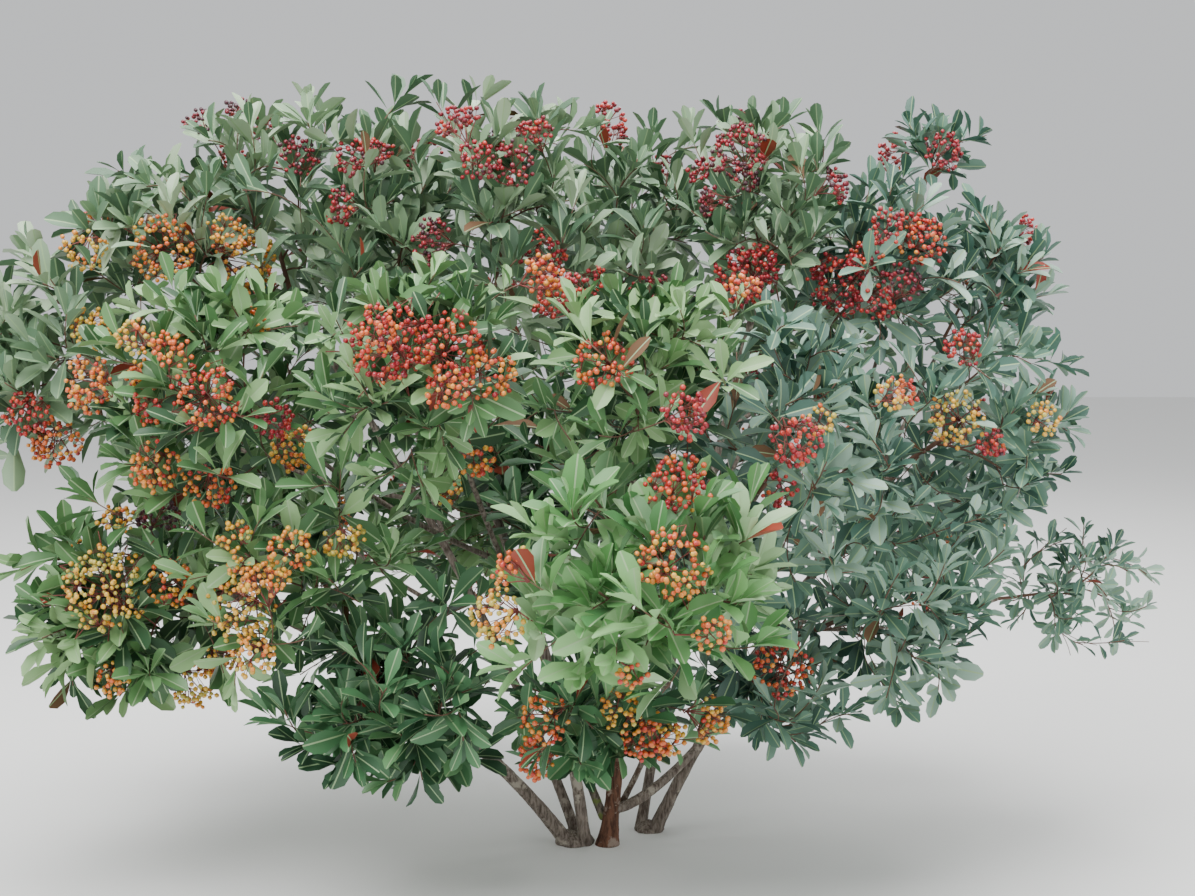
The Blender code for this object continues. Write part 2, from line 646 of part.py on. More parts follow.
def fuse(name, pieces):
    """One solid from all the pieces, by one Boolean union on a collection."""
    made = mesh_object(name, *pieces[0])
    others = bpy.data.collections.new(name + "_pieces")
    for i, piece in enumerate(pieces[1:]):
        other = mesh_object(f"{name}_{i}", *piece)
        bpy.context.scene.collection.objects.unlink(other)
        others.objects.link(other)
    union = made.modifiers.new("union", "BOOLEAN")
    union.operation = "UNION"
    union.operand_type = "COLLECTION"
    union.collection = others
    union.solver = "MANIFOLD"
    with bpy.context.temp_override(object=made):
        bpy.ops.object.modifier_apply(modifier=union.name)
    for other in list(others.objects):
        bpy.data.objects.remove(other)
    bpy.data.collections.remove(others)
    drop_scraps(made)
    return made


def main():
    for old in list(bpy.data.objects):
        bpy.data.objects.remove(old)
    limbs, seats = grow_limbs()
    for flare in ROOT_FLARES:
        build_root_flare(flare, limbs["stem_main"])
    for limb in limbs.values():
        build_limb(limb)
    for mass in MASSES:
        made = fuse("leaves_" + mass.name, grow_mass(mass, seats[mass.name], limbs))
        made.data.materials.append(material(made.name + "_green", mass.colour, LEAF_ROUGHNESS))


if __name__ == "__main__":
    main()
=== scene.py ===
"""The looks of a toyon shrub: barked stems and boughs, fine twigs, leathery leaves and ripening berries.

Metres, +Z up, in the solids' frame. Limbs follow the solids' own lines. Each mass of leaves is
grown again in its room by the solids' rule, and carried on to finer twigs and life-sized leaves.
"""

import json
import math
import random
from collections import namedtuple

import bpy
import numpy as np
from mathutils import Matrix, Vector

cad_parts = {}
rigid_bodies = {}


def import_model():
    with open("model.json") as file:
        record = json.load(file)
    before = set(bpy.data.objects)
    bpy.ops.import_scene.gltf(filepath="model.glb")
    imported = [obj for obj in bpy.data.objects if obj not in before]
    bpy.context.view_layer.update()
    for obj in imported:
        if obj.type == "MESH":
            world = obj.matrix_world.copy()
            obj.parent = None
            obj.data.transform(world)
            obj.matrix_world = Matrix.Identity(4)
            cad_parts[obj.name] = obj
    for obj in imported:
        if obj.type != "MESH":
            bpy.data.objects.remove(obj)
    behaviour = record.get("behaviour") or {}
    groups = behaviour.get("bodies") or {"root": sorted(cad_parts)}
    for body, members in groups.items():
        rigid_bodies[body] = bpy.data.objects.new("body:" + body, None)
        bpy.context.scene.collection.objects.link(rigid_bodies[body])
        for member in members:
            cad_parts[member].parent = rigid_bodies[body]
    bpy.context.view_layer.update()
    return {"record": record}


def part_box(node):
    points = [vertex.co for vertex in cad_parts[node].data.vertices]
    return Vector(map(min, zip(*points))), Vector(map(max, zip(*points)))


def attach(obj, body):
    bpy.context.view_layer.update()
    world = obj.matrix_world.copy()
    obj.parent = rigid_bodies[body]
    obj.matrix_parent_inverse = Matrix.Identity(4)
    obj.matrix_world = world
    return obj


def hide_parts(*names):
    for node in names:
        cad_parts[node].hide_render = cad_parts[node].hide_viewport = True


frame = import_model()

UP = Vector((0, 0, 1))
SLOTS = {row["node"]: row["material_slot"] for row in frame["record"]["subparts"]}
GROWTH_SEED = 100
GOLDEN_ANGLE = math.pi * (3 - math.sqrt(5))

# The photograph's camera
CAMERA_AIM = Vector((-0.0178, 0, 0.692))
CAMERA_DISTANCE = 3.2
CAMERA_PITCH = math.radians(6)  # looking down
CAMERA_LENS = 56.7  # mm, on a sensor 36 mm wide
CAMERA_PLACE = CAMERA_AIM + Vector((0, -math.cos(CAMERA_PITCH), math.sin(CAMERA_PITCH))) * CAMERA_DISTANCE

# The stage: each light's name, place, size in metres and power in watts
FLOOR_COLOUR = "E6E6E4"
SKY_COLOUR = "F4F6F8"
SKY_STRENGTH = 0.8
LIGHT_AIM = Vector((0, 0, 0.6))
LIGHTS = (
    ("key", (-2.0, -2.6, 3.8), 2.5, 190),
    ("fill", (2.8, -2.6, 2.2), 2.5, 50),
    ("back", (0.5, 3.2, 3.4), 2.5, 80),
    ("above", (0, -0.3, 4.2), 3.5, 240),
)

# Limbs, as in the solids
SWELL_HEIGHT = 0.035
BOUGH_TAPER = 0.72
BOUGH_TO_PARENT = 0.66
THICKEST_SPRIG_BOUGH = 0.0042
BOUGH_ENTRY = 0.86
GAP = 0.0003
ROOT_DEPTH = 0.02  # a stem starts this far below the ground, where it is cut off
ROOT_SWELL = 1.15

# Bark relief and its mesh
BARK_GRID = 0.004  # between rings and between corners of a ring
FEWEST_RINGS = 8
FEWEST_SIDES = 8
LUMP_SIZE = 0.030
FLAKE_SIZE = 0.006
LUMPS_TO_RADIUS = 0.22
FLAKES_TO_RADIUS = 0.10
FLARE_HEIGHT = 1.5  # of the ball that becomes a root flare, to the flare's own
FLARE_LUMP_SIZE = 0.018
FLARE_LUMPS = 0.010
FLARE_FLAKES = 0.0025

# Bark patterns: the noise's values between which a fissure turns to ridge, and at a patch's edge
FISSURE_LENGTH = 5  # to a fissure's width
FISSURE_EDGE = (0.36, 0.62)
PATCH_EDGE = (0.72, 0.78)
BARK_BUMP = 0.0015

# Twigs, as in the solids and then finer
TWIG_FOOT_RADIUS = 0.0052
TWIG_TAPER = 0.8
TWIG_TO_PARENT = 0.55
SHORTEST_TWIG = 0.012
TIP_DEPTH = 0.085
NEAREST_TIP = 0.12
STEM_REACH = 0.60
STEM_PIECES = 4
STEM_FORKS = (0.45, 0.62, 0.79, 0.96)
TWIG_FORKS = (0.30, 0.55, 0.80)
FORK_COST = 0.35
LIMB_MARGIN = 0.0015
LIMB_PIECES = 5  # straight ones that stand for a limb when a twig looks for its way past it
PARENT_SHARE = 0.35  # how far a twig follows its parent's direction before it turns to its own tip
LONG_TWIG = 0.06
LONG_TWIG_PIECES = 5
SHORT_TWIG_PIECES = 3
OPEN_MASSES = ("sprig", "right_tail")
CROWN_PULL = 0.95  # the lower, the more the masses' rooms grow towards each other
CROWN_STRETCH = 1.7  # and at most this far past their own ellipsoids
CROWN_EDGE = 0.75  # how thin the crown's pull may get at a leaf's tip, 1 being its surface
CROWN_STEPS = 24
COARSE_RADIUS = 0.00168  # at a twig's tip
SPRAY_RADIUS = 0.0011
BARE_RADIUS = SPRAY_RADIUS * 0.7
SPRAY_DEPTH = 0.055  # a fine twig ends about this far inside the mass's surface
OUTER_DEPTHS = (0.2, 1.5)  # and between these shares of it where it faces the open
INNER_DEPTHS = (0.3, 1.0)  # or another mass
INNER_SHARE = 0.45  # of the sprays that face another mass
DEEP_CHANCE = 0.25  # that a spray has another behind it, deep inside
DEEP_REACH = 0.45  # and where that one ends, as a share of the way out
BARE_REACH = (0.75, 0.98)

# Leaves, life-sized
LEAF_LENGTH = 0.080
LEAF_LENGTHS = (0.78, 1.12)
LEAF_WIDTH_SHARE = 0.36
LEAF_WIDTHS = (0.85, 1.15)
TIP_SHORTENING = 0.3  # how much shorter the youngest leaves are, at a twig's tip
LEAVES_OUTSIDE = 9  # on a spray
LEAVES_INSIDE = 6
LEAFY_LENGTH = 0.050  # of a twig's end
LEAFY_SHARE = 0.8  # of a short twig, at most
LEAN_LOW = 1.25  # radians from the twig to its lowest leaves
LEAN_TIP = 0.30
LEAN_JITTER = 0.15
AXIS_LIFT = 0.30  # how far sprays turn up, and how much more in a mass that is lifted
AXIS_LIFT_OF_MASS = 0.35
LIFT_OF_LEAF = 0.20
FACE_LIFT = 0.6
PLANE_SLACK = 0.020  # a leaf may reach this far past the plane to the next mass
SECOND_SIZE = 0.72  # of a leaf that had no room at its full size
LEAF_MIDDLE = 0.6  # along a leaf, where it must keep clear of berries
LEAF_START = 0.3  # along a leaf, from where it must keep clear of limbs
LEAF_CLEARANCE = 0.002
LEAF_DROOP = (0.02, 0.22)  # how far a leaf's tip curves down, to its length
LEAF_FOLD = 0.5  # how far its edges rise, to their distance from the rib
INNER_TINTS = (0, 3, 4)
OTHER_TINT_CHANCE = 0.2  # that a leaf has a tint other than its spray's
OLD_SHARE = 0.006
DRY_SHARE = 0.006
# Stations along the leaf: the place, and the half width there to the widest
LEAF_STATIONS = ((0.0, 0.0), (0.12, 0.09), (0.36, 0.52), (0.64, 0.98), (0.87, 0.84), (1.0, 0.22))
RIB_SHARE = 0.075
WIDEST_RIB = 0.4  # to the half width, near the leaf's foot

# Berries
BERRY_RADIUS = 0.0041
BERRY_SIZES = (0.82, 1.12)
BERRY_SPACING = 1.8  # between middles, to the radius
DIMPLE_DEPTH = 0.32  # at a berry's far end, to the radius
BERRIES_A_SQUARE_METRE = 8600  # of a bunch's width squared
FEWEST_BERRIES = 6
TRIES_A_BERRY = 6
BERRIES_A_FORK = 8
FEWEST_FORKS = 3
FORK_SPREAD = 0.18  # to the bunch's width
FORK_DEPTH = 0.12
FORK_RISE = 0.002
BUNCH_FLATNESS = 0.72
BUNCH_LOWEST = -0.45  # of its berries, to the half width
BUNCH_HOLLOW = 0.35  # and the innermost
BUNCH_FILL = 0.6  # the lower, the more berries lie near the surface
BUNCH_BASE = 0.5  # where its stalk ends, to its width
BUNCH_WIDTHS = (0.040, 0.085)  # of the scattered ones
BUNCH_FORWARD = 0.35  # of a bunch past its twig's tip, to its width
BUNCH_SINK = 0.3  # of one that shows, into the mass's front
BUNCH_FACING = 0.8  # how far it turns towards the camera
MISS_COST = 4  # for a mass that a bunch's ray passes by
RIPENESS_OF_BUNCH = 1  # how far a scattered bunch may be from its mass's ripeness
RIPENESS_SPREAD = 0.7  # within a bunch
LEAF_GAP_FOOT = 0.2  # the space that leaves leave free before a bunch, from behind its middle
LEAF_GAP_RADIUS = 0.42
STALK_SAG = 0.004  # also the shortest stalk
BUNCH_STALK = (0.0016, 0.0013)  # radii at the foot and at the end
FORK_STALK = (0.0012, 0.0009)
BERRY_STALK = (0.0006, 0.0006)
BERRY_LEAN = 20  # how far a berry points along its own stalk, a metre of it
BERRY_LIFT = 0.2
BERRY_OUTWARD = 0.3
NOT_UPRIGHT = np.array([0.31, 0.87, 0.38])  # any direction, to set each berry's sides by

# Colours are sRGB. Leaves of one spray share a tint
LEAF_TINTS = {
    # Paler, greyer greens for the upper masses: painted light, the sky's light and sheen on the crown's top
    # painted into the leaves
    "hazy": ("6E8C6C", "87A181", "597A5B", "9AB090", "4C6B50", "7D9A76"),
    "green": ("4B7544", "5F8A54", "3B6239", "739A63", "315435", "87AB74"),
    # Darker greens for the low masses and the heart: painted shade, the dark of the crown's inside painted
    # into the leaves
    "deep": ("3F6B45", "4F7F53", "305638", "62905F", "27482F", "46704A"),
    "teal": ("567B68", "688C78", "45685A", "7B9C89", "385A4D", "8DA997"),
    "bright": ("5C9152", "71A363", "4A7F48", "86B476", "668F62", "98B98A"),
}
RIB_TINT = "93AF83"
OLD_LEAF = "8A3524"
DRY_LEAF = "6E5138"
RIPENESS = ("B9A94A", "D6A63A", "D88A33", "CC5F2C", "B8352A", "9C1F2B", "7A1B2C", "4A2630")
TWIG_COLOURS = ("6A4B3D", "8A8078", "7A3A34")
LIVING, BARE, STALK = range(len(TWIG_COLOURS))

Stem = namedtuple("Stem", "name foot heading tip foot_radius tip_radius swell")
STEMS = (
    Stem("stem_main", (0, 0, 0), (0.045, -0.005, 0.36), (0.045, 0.07, 0.93), 0.0135, 0.0062, 0.65),
    Stem(
        "stem_far_left", (-0.078, -0.002, 0.014), (-0.262, -0.085, 0.29),
        (-0.61, -0.205, 0.48), 0.0118, 0.006, 0.13,
    ),
    Stem("stem_left", (-0.057, 0.029, 0.014), (-0.2, 0.085, 0.42), (-0.55, 0.13, 0.93), 0.009, 0.0052, 0.2),
    Stem(
        "stem_mid_left", (-0.041, -0.004, 0.014), (-0.078, -0.035, 0.4),
        (-0.34, 0.01, 0.89), 0.0105, 0.0056, 0.15,
    ),
    Stem("stem_right", (0.061, 0.088, 0.012), (0.125, 0.135, 0.4), (0.25, 0.035, 0.93), 0.0092, 0.0055, 0.15),
    Stem(
        "stem_far_right", (0.088, 0.07, 0.012), (0.215, 0.055, 0.3),
        (0.49, -0.04, 0.665), 0.0108, 0.006, 0.2,
    ),
)
SideStem = namedtuple("SideStem", "name parent place heading tip foot_radius tip_radius")
SIDE_STEMS = (
    SideStem("stem_mossy", "stem_main", 0.062, (-0.095, 0.06, 0.25), (-0.2, 0.34, 0.49), 0.0078, 0.0048),
    SideStem(
        "stem_crossing", "stem_main", 0.09, (0.08, -0.004, 0.086),
        ("stem_far_right", 0.25), 0.009, 0.0075,
    ),
    SideStem("dead_stub", "stem_main", 0.075, (0.043, 0.036, 0.095), (0.065, 0.046, 0.143), 0.0058, 0.005),
)

# As in the solids
Mass = namedtuple("Mass", "name middle half_sizes limb place sag shoots")
MASSES = (
    Mass("left_shoulder", (-0.75, 0, 1.02), (0.15, 0.16, 0.155), "stem_left", 0.8, 0.05, 6),
    Mass("top_left", (-0.59, 0.11, 1.095), (0.145, 0.16, 0.195), "stem_left", 1, None, 6),
    Mass("left_tip", (-0.92, -0.05, 0.84), (0.145, 0.16, 0.185), "stem_left", 0.66, 0.06, 6),
    Mass("left_mid", (-0.61, -0.31, 0.81), (0.185, 0.175, 0.18), "stem_mid_left", 0.58, 0.04, 6),
    Mass("left_low", (-0.765, -0.22, 0.465), (0.195, 0.17, 0.165), "stem_far_left", 1, None, 6),
    Mass("left_inner", (-0.465, -0.335, 0.56), (0.17, 0.17, 0.155), "stem_far_left", 0.62, 0.03, 6),
    Mass("top_mid_left", (-0.37, 0.05, 1.07), (0.13, 0.16, 0.215), "stem_mid_left", 1, None, 6),
    Mass("top_middle", (-0.165, -0.01, 1.1), (0.125, 0.16, 0.205), "stem_mid_left", 0.8, 0.02, 5),
    Mass("top_mid_right", (0.06, 0.11, 1.06), (0.13, 0.16, 0.185), "stem_main", 1, None, 6),
    Mass("top_right", (0.265, 0.01, 1.09), (0.13, 0.16, 0.195), "stem_right", 1, None, 6),
    Mass("top_far_right", (0.46, -0.01, 0.99), (0.115, 0.16, 0.175), "stem_right", 0.8, 0.05, 6),
    Mass("sprig", (0.575, 0.16, 1.2), (0.112, 0.1, 0.114), "stem_far_right", 0.74, 0.03, 4),
    Mass("right_shoulder", (0.64, 0.12, 0.975), (0.135, 0.16, 0.145), "stem_far_right", 0.84, 0.03, 5),
    Mass("right_mid", (0.605, -0.08, 0.75), (0.175, 0.18, 0.175), "stem_far_right", 1, None, 6),
    Mass("right_low", (0.45, -0.2, 0.47), (0.165, 0.17, 0.175), "stem_far_right", 0.52, None, 6),
    Mass("right_tail", (0.81, 0, 0.45), (0.165, 0.14, 0.13), "stem_far_right", 0.6, 0.05, 5),
    Mass("right_inner", (0.265, -0.18, 0.38), (0.14, 0.15, 0.16), "stem_far_right", 0.36, None, 5),
    Mass("right_front", (0.285, -0.41, 0.75), (0.165, 0.16, 0.175), "stem_main", 0.42, 0.05, 6),
    Mass("front_left", (-0.26, -0.49, 0.86), (0.165, 0.16, 0.15), "stem_mid_left", 0.46, 0.05, 6),
    Mass("front_middle", (0.04, -0.47, 0.84), (0.16, 0.16, 0.15), "stem_main", 0.52, 0.05, 6),
    Mass("front_spray", (0.045, -0.61, 0.575), (0.225, 0.19, 0.165), "stem_main", 0.3, 0.04, 7),
    Mass("low_left", (-0.325, -0.36, 0.36), (0.18, 0.16, 0.155), "stem_far_left", 0.4, None, 6),
    Mass("low_front", (-0.01, -0.38, 0.36), (0.165, 0.15, 0.13), "stem_main", 0.2, None, 6),
    Mass("heart", (-0.09, -0.13, 0.66), (0.2, 0.16, 0.21), "stem_main", 0.46, None, 5),
    Mass("back_top_left", (-0.42, 0.39, 0.95), (0.215, 0.19, 0.205), "stem_left", 0.56, 0.05, 6),
    Mass("back_top", (-0.03, 0.41, 0.97), (0.205, 0.19, 0.21), "stem_main", 0.62, 0.05, 6),
    Mass("back_top_right", (0.36, 0.37, 0.93), (0.205, 0.19, 0.205), "stem_right", 0.6, 0.05, 6),
    Mass("back_left", (-0.68, 0.29, 0.62), (0.21, 0.21, 0.225), "stem_left", 0.42, 0.04, 6),
    Mass("back_mid_left", (-0.28, 0.51, 0.56), (0.23, 0.21, 0.22), "stem_mossy", 1, None, 6),
    Mass("back_mid_right", (0.18, 0.51, 0.54), (0.23, 0.21, 0.22), "stem_right", 0.3, None, 6),
    Mass("back_right", (0.59, 0.32, 0.6), (0.215, 0.21, 0.225), "stem_far_right", 0.4, 0.03, 6),
)

# How far a mass's sprays turn up, its tints, its fine sprays, the bare twigs among them, its
# leaves' size to life, and how ripe its scattered berry bunches are and how many it has
Dress = namedtuple("Dress", "lift tints sprays bare leaf_size ripeness bunches")
DRESSES = {
    "left_shoulder": Dress(0.9, "hazy", 58, 0, 1.05, 2.4, 3),
    "top_left": Dress(1.1, "hazy", 60, 0, 1.05, 5.4, 6),
    "left_tip": Dress(0.5, "hazy", 50, 0, 1.1, 2.5, 2),
    "left_mid": Dress(0.4, "green", 62, 0, 1.1, 3, 4),
    "left_low": Dress(0.1, "green", 60, 0, 1.15, 1.2, 4),
    "left_inner": Dress(0.1, "green", 58, 0, 1, 1.5, 5),
    "top_mid_left": Dress(1.2, "hazy", 60, 0, 1.1, 5.4, 6),
    "top_middle": Dress(1.2, "hazy", 60, 0, 1.1, 5.4, 6),
    "top_mid_right": Dress(1.1, "hazy", 60, 0, 0.95, 5.5, 6),
    "top_right": Dress(1.0, "hazy", 60, 0, 0.95, 5.5, 6),
    "top_far_right": Dress(0.7, "teal", 56, 2, 0.95, 5, 4),
    "sprig": Dress(0.7, "teal", 7, 0, 0.85, 5.5, 2),
    "right_shoulder": Dress(0.5, "teal", 56, 2, 0.9, 4, 3),
    "right_mid": Dress(0.3, "teal", 66, 8, 0.85, 3, 2),
    "right_low": Dress(0.1, "teal", 64, 8, 0.85, 2, 0),
    "right_tail": Dress(0.1, "teal", 26, 16, 0.6, 2, 0),
    "right_inner": Dress(0.1, "teal", 56, 2, 0.85, 3, 1),
    "right_front": Dress(0.4, "teal", 60, 4, 0.9, 3.5, 2),
    "front_left": Dress(0.5, "green", 60, 0, 1, 3, 3),
    "front_middle": Dress(0.6, "green", 56, 0, 0.95, 4, 2),
    "front_spray": Dress(1.3, "bright", 50, 0, 1.2, 3, 1),
    "low_left": Dress(0.1, "deep", 64, 0, 1.05, 1, 0),
    "low_front": Dress(0.2, "deep", 60, 0, 0.95, 2.2, 3),
    "heart": Dress(0.2, "deep", 60, 6, 1, 3, 0),
    "back_top_left": Dress(0.8, "hazy", 66, 0, 1.1, 5, 6),
    "back_top": Dress(0.8, "hazy", 66, 0, 1.1, 5.4, 6),
    "back_top_right": Dress(0.7, "hazy", 66, 0, 1.1, 5, 6),
    "back_left": Dress(0.3, "green", 70, 0, 1.1, 2, 5),
    "back_mid_left": Dress(0.2, "green", 70, 0, 1.1, 3, 5),
    "back_mid_right": Dress(0.2, "teal", 70, 0, 1.1, 3, 5),
    "back_right": Dress(0.3, "teal", 70, 4, 1, 3, 5),
}

# The bunches that show: where the camera sees them on the upright plane through the main stem
# (metres across, metres up), their width and how ripe they are
SHOWN_BUNCHES = (
    (-0.87, 0.89, 0.081, 1.0), (-0.80, 0.88, 0.060, 1.0), (-0.88, 0.80, 0.093, 2.6),
    (-0.75, 1.03, 0.110, 2.2), (-0.61, 1.01, 0.120, 1.6), (-0.68, 0.78, 0.106, 3.4),
    (-0.985, 0.75, 0.080, 4.2), (-0.94, 0.70, 0.090, 2.8), (-0.57, 0.74, 0.070, 5.0),
    (-0.53, 0.69, 0.085, 1.7), (-0.77, 0.66, 0.085, 2.6), (-0.68, 0.63, 0.078, 2.8),
    (-0.77, 0.58, 0.076, 7.0), (-0.84, 0.57, 0.060, 1.0), (-0.64, 0.54, 0.055, 1.2),
    (-0.86, 0.45, 0.135, 0.6), (-0.75, 0.46, 0.080, 2.4), (-0.63, 0.41, 0.110, 0.8),
    (-0.71, 0.28, 0.085, 1.0), (-0.66, 0.33, 0.070, 1.4), (-0.37, 0.87, 0.130, 4.2),
    (-0.27, 0.86, 0.110, 4.0), (-0.20, 0.82, 0.085, 2.8), (-0.11, 1.02, 0.085, 4.6),
    (-0.08, 0.95, 0.090, 4.4), (-0.16, 1.17, 0.080, 5.6), (0.22, 1.19, 0.100, 5.8),
    (-0.52, 1.18, 0.075, 5.8), (-0.43, 1.18, 0.066, 5.4), (-0.01, 0.84, 0.089, 3.4),
    (0.23, 0.98, 0.110, 5.0), (0.39, 0.97, 0.115, 4.8), (0.45, 0.94, 0.070, 4.8),
    (0.53, 1.04, 0.085, 3.6), (0.60, 0.86, 0.068, 4.6), (0.59, 0.74, 0.095, 0.8),
    (0.48, 0.78, 0.050, 1.7), (0.65, 0.70, 0.050, 4.8), (0.74, 0.74, 0.060, 1.2),
    (-0.22, 0.67, 0.055, 2.6), (-0.27, 0.62, 0.060, 1.2), (0.12, 0.63, 0.095, 3.8),
    (0.11, 0.49, 0.105, 2.4), (0.29, 0.62, 0.055, 5.0), (-0.19, 0.40, 0.085, 1.0),
    (-0.11, 0.22, 0.081, 2.6), (-0.12, 0.15, 0.076, 3.2), (0.02, 0.24, 0.068, 1.0),
    (0.18, 0.37, 0.055, 2.6), (0.30, 0.31, 0.098, 3.4), (0.36, 0.74, 0.045, 1.2),
    (0.04, 0.30, 0.045, 2.8),
)


def linear(hex_colour):
    """The linear RGBA of an sRGB hex colour."""
    channels = [int(hex_colour[i : i + 2], 16) / 255 for i in (0, 2, 4)]
    return [c / 12.92 if c <= 0.04045 else ((c + 0.055) / 1.055) ** 2.4 for c in channels] + [1]


# Materials


def new_material(name, colour, roughness, **sockets):
    """A Principled material, with its other sockets by name."""
    made = bpy.data.materials.new(name)
    made.use_nodes = True
    shader = made.node_tree.nodes["Principled BSDF"]
    shader.inputs["Base Color"].default_value = linear(colour)
    shader.inputs["Roughness"].default_value = roughness
    for socket, value in sockets.items():
        shader.inputs[socket.replace("_", " ")].default_value = value
    return made


def add_node(made, kind, inputs, **settings):
    """Adds a node with its settings. An input is a value, or a node and the name of its output."""
    tree = made.node_tree
    added = tree.nodes.new(kind)
    for name, value in settings.items():
        setattr(added, name, value)
    for name, value in inputs.items():
        if isinstance(value, tuple) and isinstance(value[0], bpy.types.Node):
            tree.links.new(value[0].outputs[value[1]], added.inputs[name])
        else:
            added.inputs[name].default_value = value
    return added


def bark_material(name, ridge, fissure, patch, patch_size, patch_share, fissure_width=0.004):
    """Bark with upright fissures between ridges, and patches of another colour."""
    made = new_material(name, ridge, 0.85, Specular_IOR_Level=0.3)
    place = add_node(made, "ShaderNodeTexCoord", {})
    stretch = (1 / fissure_width, 1 / fissure_width, 1 / (fissure_width * FISSURE_LENGTH))
    upright = add_node(made, "ShaderNodeMapping", {"Vector": (place, "Object"), "Scale": stretch})
    grain = add_node(
        made, "ShaderNodeTexNoise",
        {"Vector": (upright, "Vector"), "Scale": 1.0, "Detail": 5.0, "Roughness": 0.6},
    )
    depth = add_node(
        made, "ShaderNodeMapRange",
        {"Value": (grain, "Fac"), "From Min": FISSURE_EDGE[0], "From Max": FISSURE_EDGE[1]},
    )
    two_tone = add_node(
        made, "ShaderNodeMix",
        {0: (depth, "Result"), 6: linear(fissure), 7: linear(ridge)}, data_type="RGBA",
    )
    blots = add_node(
        made, "ShaderNodeTexNoise",
        {"Vector": (place, "Object"), "Scale": 1 / patch_size, "Detail": 4.0, "Roughness": 0.65},
    )
    low, high = PATCH_EDGE[0] - patch_share, PATCH_EDGE[1] - patch_share
    edge = add_node(
        made, "ShaderNodeMapRange", {"Value": (blots, "Fac"), "From Min": low, "From Max": high}
    )
    painted = add_node(
        made, "ShaderNodeMix",
        {0: (edge, "Result"), 6: (two_tone, 2), 7: linear(patch)}, data_type="RGBA",
    )
    bump = add_node(
        made, "ShaderNodeBump", {"Height": (grain, "Fac"), "Strength": 0.7, "Distance": BARK_BUMP}
    )
    shader = made.node_tree.nodes["Principled BSDF"]
    made.node_tree.links.new(painted.outputs[2], shader.inputs["Base Color"])
    made.node_tree.links.new(bump.outputs["Normal"], shader.inputs["Normal"])
    return made


def make_materials():
    """Every finish by name."""
    made = {}
    # Smooth grey-brown bark, with fine fissures and pale blots of lichen
    made["bark_grey"] = bark_material("bark_smooth_grey", "8C8177", "4E443C", "A39B8E", 0.035, 0.14)
    # The oldest stem's bark, flaking to a warm red-brown
    made["bark_red_brown"] = bark_material(
        "bark_flaking_red_brown", "75513F", "37251D", "8F7F72", 0.028, 0.18, fissure_width=0.006
    )
    # Shaded bark with dull green moss
    made["bark_mossy"] = bark_material("bark_mossy", "7F776B", "463E36", "6E7B45", 0.022, 0.24)
    # Dead wood under peeling, sun-bleached bark
    made["bark_dead"] = bark_material(
        "bark_dead_peeling", "A3988A", "4C4037", "5F4F43", 0.012, 0.22, fissure_width=0.005
    )
    for tint, colours in LEAF_TINTS.items():
        for i, colour in enumerate(colours):
            # A toyon leaf is thick and waxy: a broad soft sheen over a deep green. The upper masses' paler
            # tints hold painted light, and the low masses' darker tints painted shade.
            made[f"{tint}_{i}"] = new_material(
                f"leaf_waxy_{tint}_{i}", colour, 0.42, Specular_IOR_Level=0.45, Sheen_Weight=0.05
            )
    # The rib is a thin pale line that catches the light less than the blade
    made["rib"] = new_material("leaf_rib_pale", RIB_TINT, 0.5)
    # An old leaf turns a dull red before it drops, and a dead one is brown and without shine
    made["old"] = new_material("leaf_old_red", OLD_LEAF, 0.5)
    made["dry"] = new_material("leaf_dry_brown", DRY_LEAF, 0.8)
    for i, colour in enumerate(RIPENESS):
        # A ripening pome has a taut, glossy skin
        name = f"berry_skin_{i}"
        made[f"berry_{i}"] = new_material(name, colour, 0.28, Coat_Weight=0.25, Coat_Roughness=0.2)
    # Young twigs are brown and matt, bare ones weathered grey, and berry stalks a smoother dull red
    made["twig_brown"] = new_material("twig_bark_brown", TWIG_COLOURS[LIVING], 0.75)
    made["twig_grey"] = new_material("twig_bark_weathered", TWIG_COLOURS[BARE], 0.85)
    made["twig_red"] = new_material("stalk_skin_red", TWIG_COLOURS[STALK], 0.6)
    return made


# Limbs


class Limb:
    """One tapering limb along a bend, as in the solids."""

    def __init__(self, name, foot, heading, tip, radii, swell=0.0):
        self.name = name
        self.foot, self.heading, self.tip = Vector(foot), Vector(heading), Vector(tip)
        self.radii = radii
        self.swell = swell
        self.length = (self.tip - self.foot).length
        self.root = None  # where a child limb starts inside its parent

    def at(self, place):
        """The point, the direction and the radius at a place from 0 at the foot to 1 at the tip."""
        back = 1 - place
        point = self.foot * back**2 + self.heading * 2 * place * back + self.tip * place**2
        along = (self.heading - self.foot) * back + (self.tip - self.heading) * place
        swelling = self.swell * self.radii[0] * math.exp(-place * self.length / SWELL_HEIGHT)
        radius = self.radii[0] + (self.radii[1] - self.radii[0]) * place + swelling
        return point, along.normalized(), radius

    def side_seat(self, place, towards):
        """The point of this limb's side that faces another point."""
        middle, along, radius = self.at(place)
        out = Vector(towards) - middle
        out = (out - along * out.dot(along)).normalized()
        return middle + out * (radius + GAP)

    def line(self):
        """Points and radii a grid step apart, from inside the parent or below the ground to the tip."""
        count = max(round(self.length / BARK_GRID), FEWEST_RINGS)
        stops = [self.at(i / count) for i in range(count + 1)]
        points = [stop[0] for stop in stops]
        radii = [stop[2] for stop in stops]
        if self.root is not None:
            points.insert(0, self.root)
            radii.insert(0, radii[0])
        else:
            along = stops[0][1]
            points.insert(0, points[0] - along * ((points[0].z + ROOT_DEPTH) / along.z))
            radii.insert(0, radii[0] * ROOT_SWELL)
        return points, radii


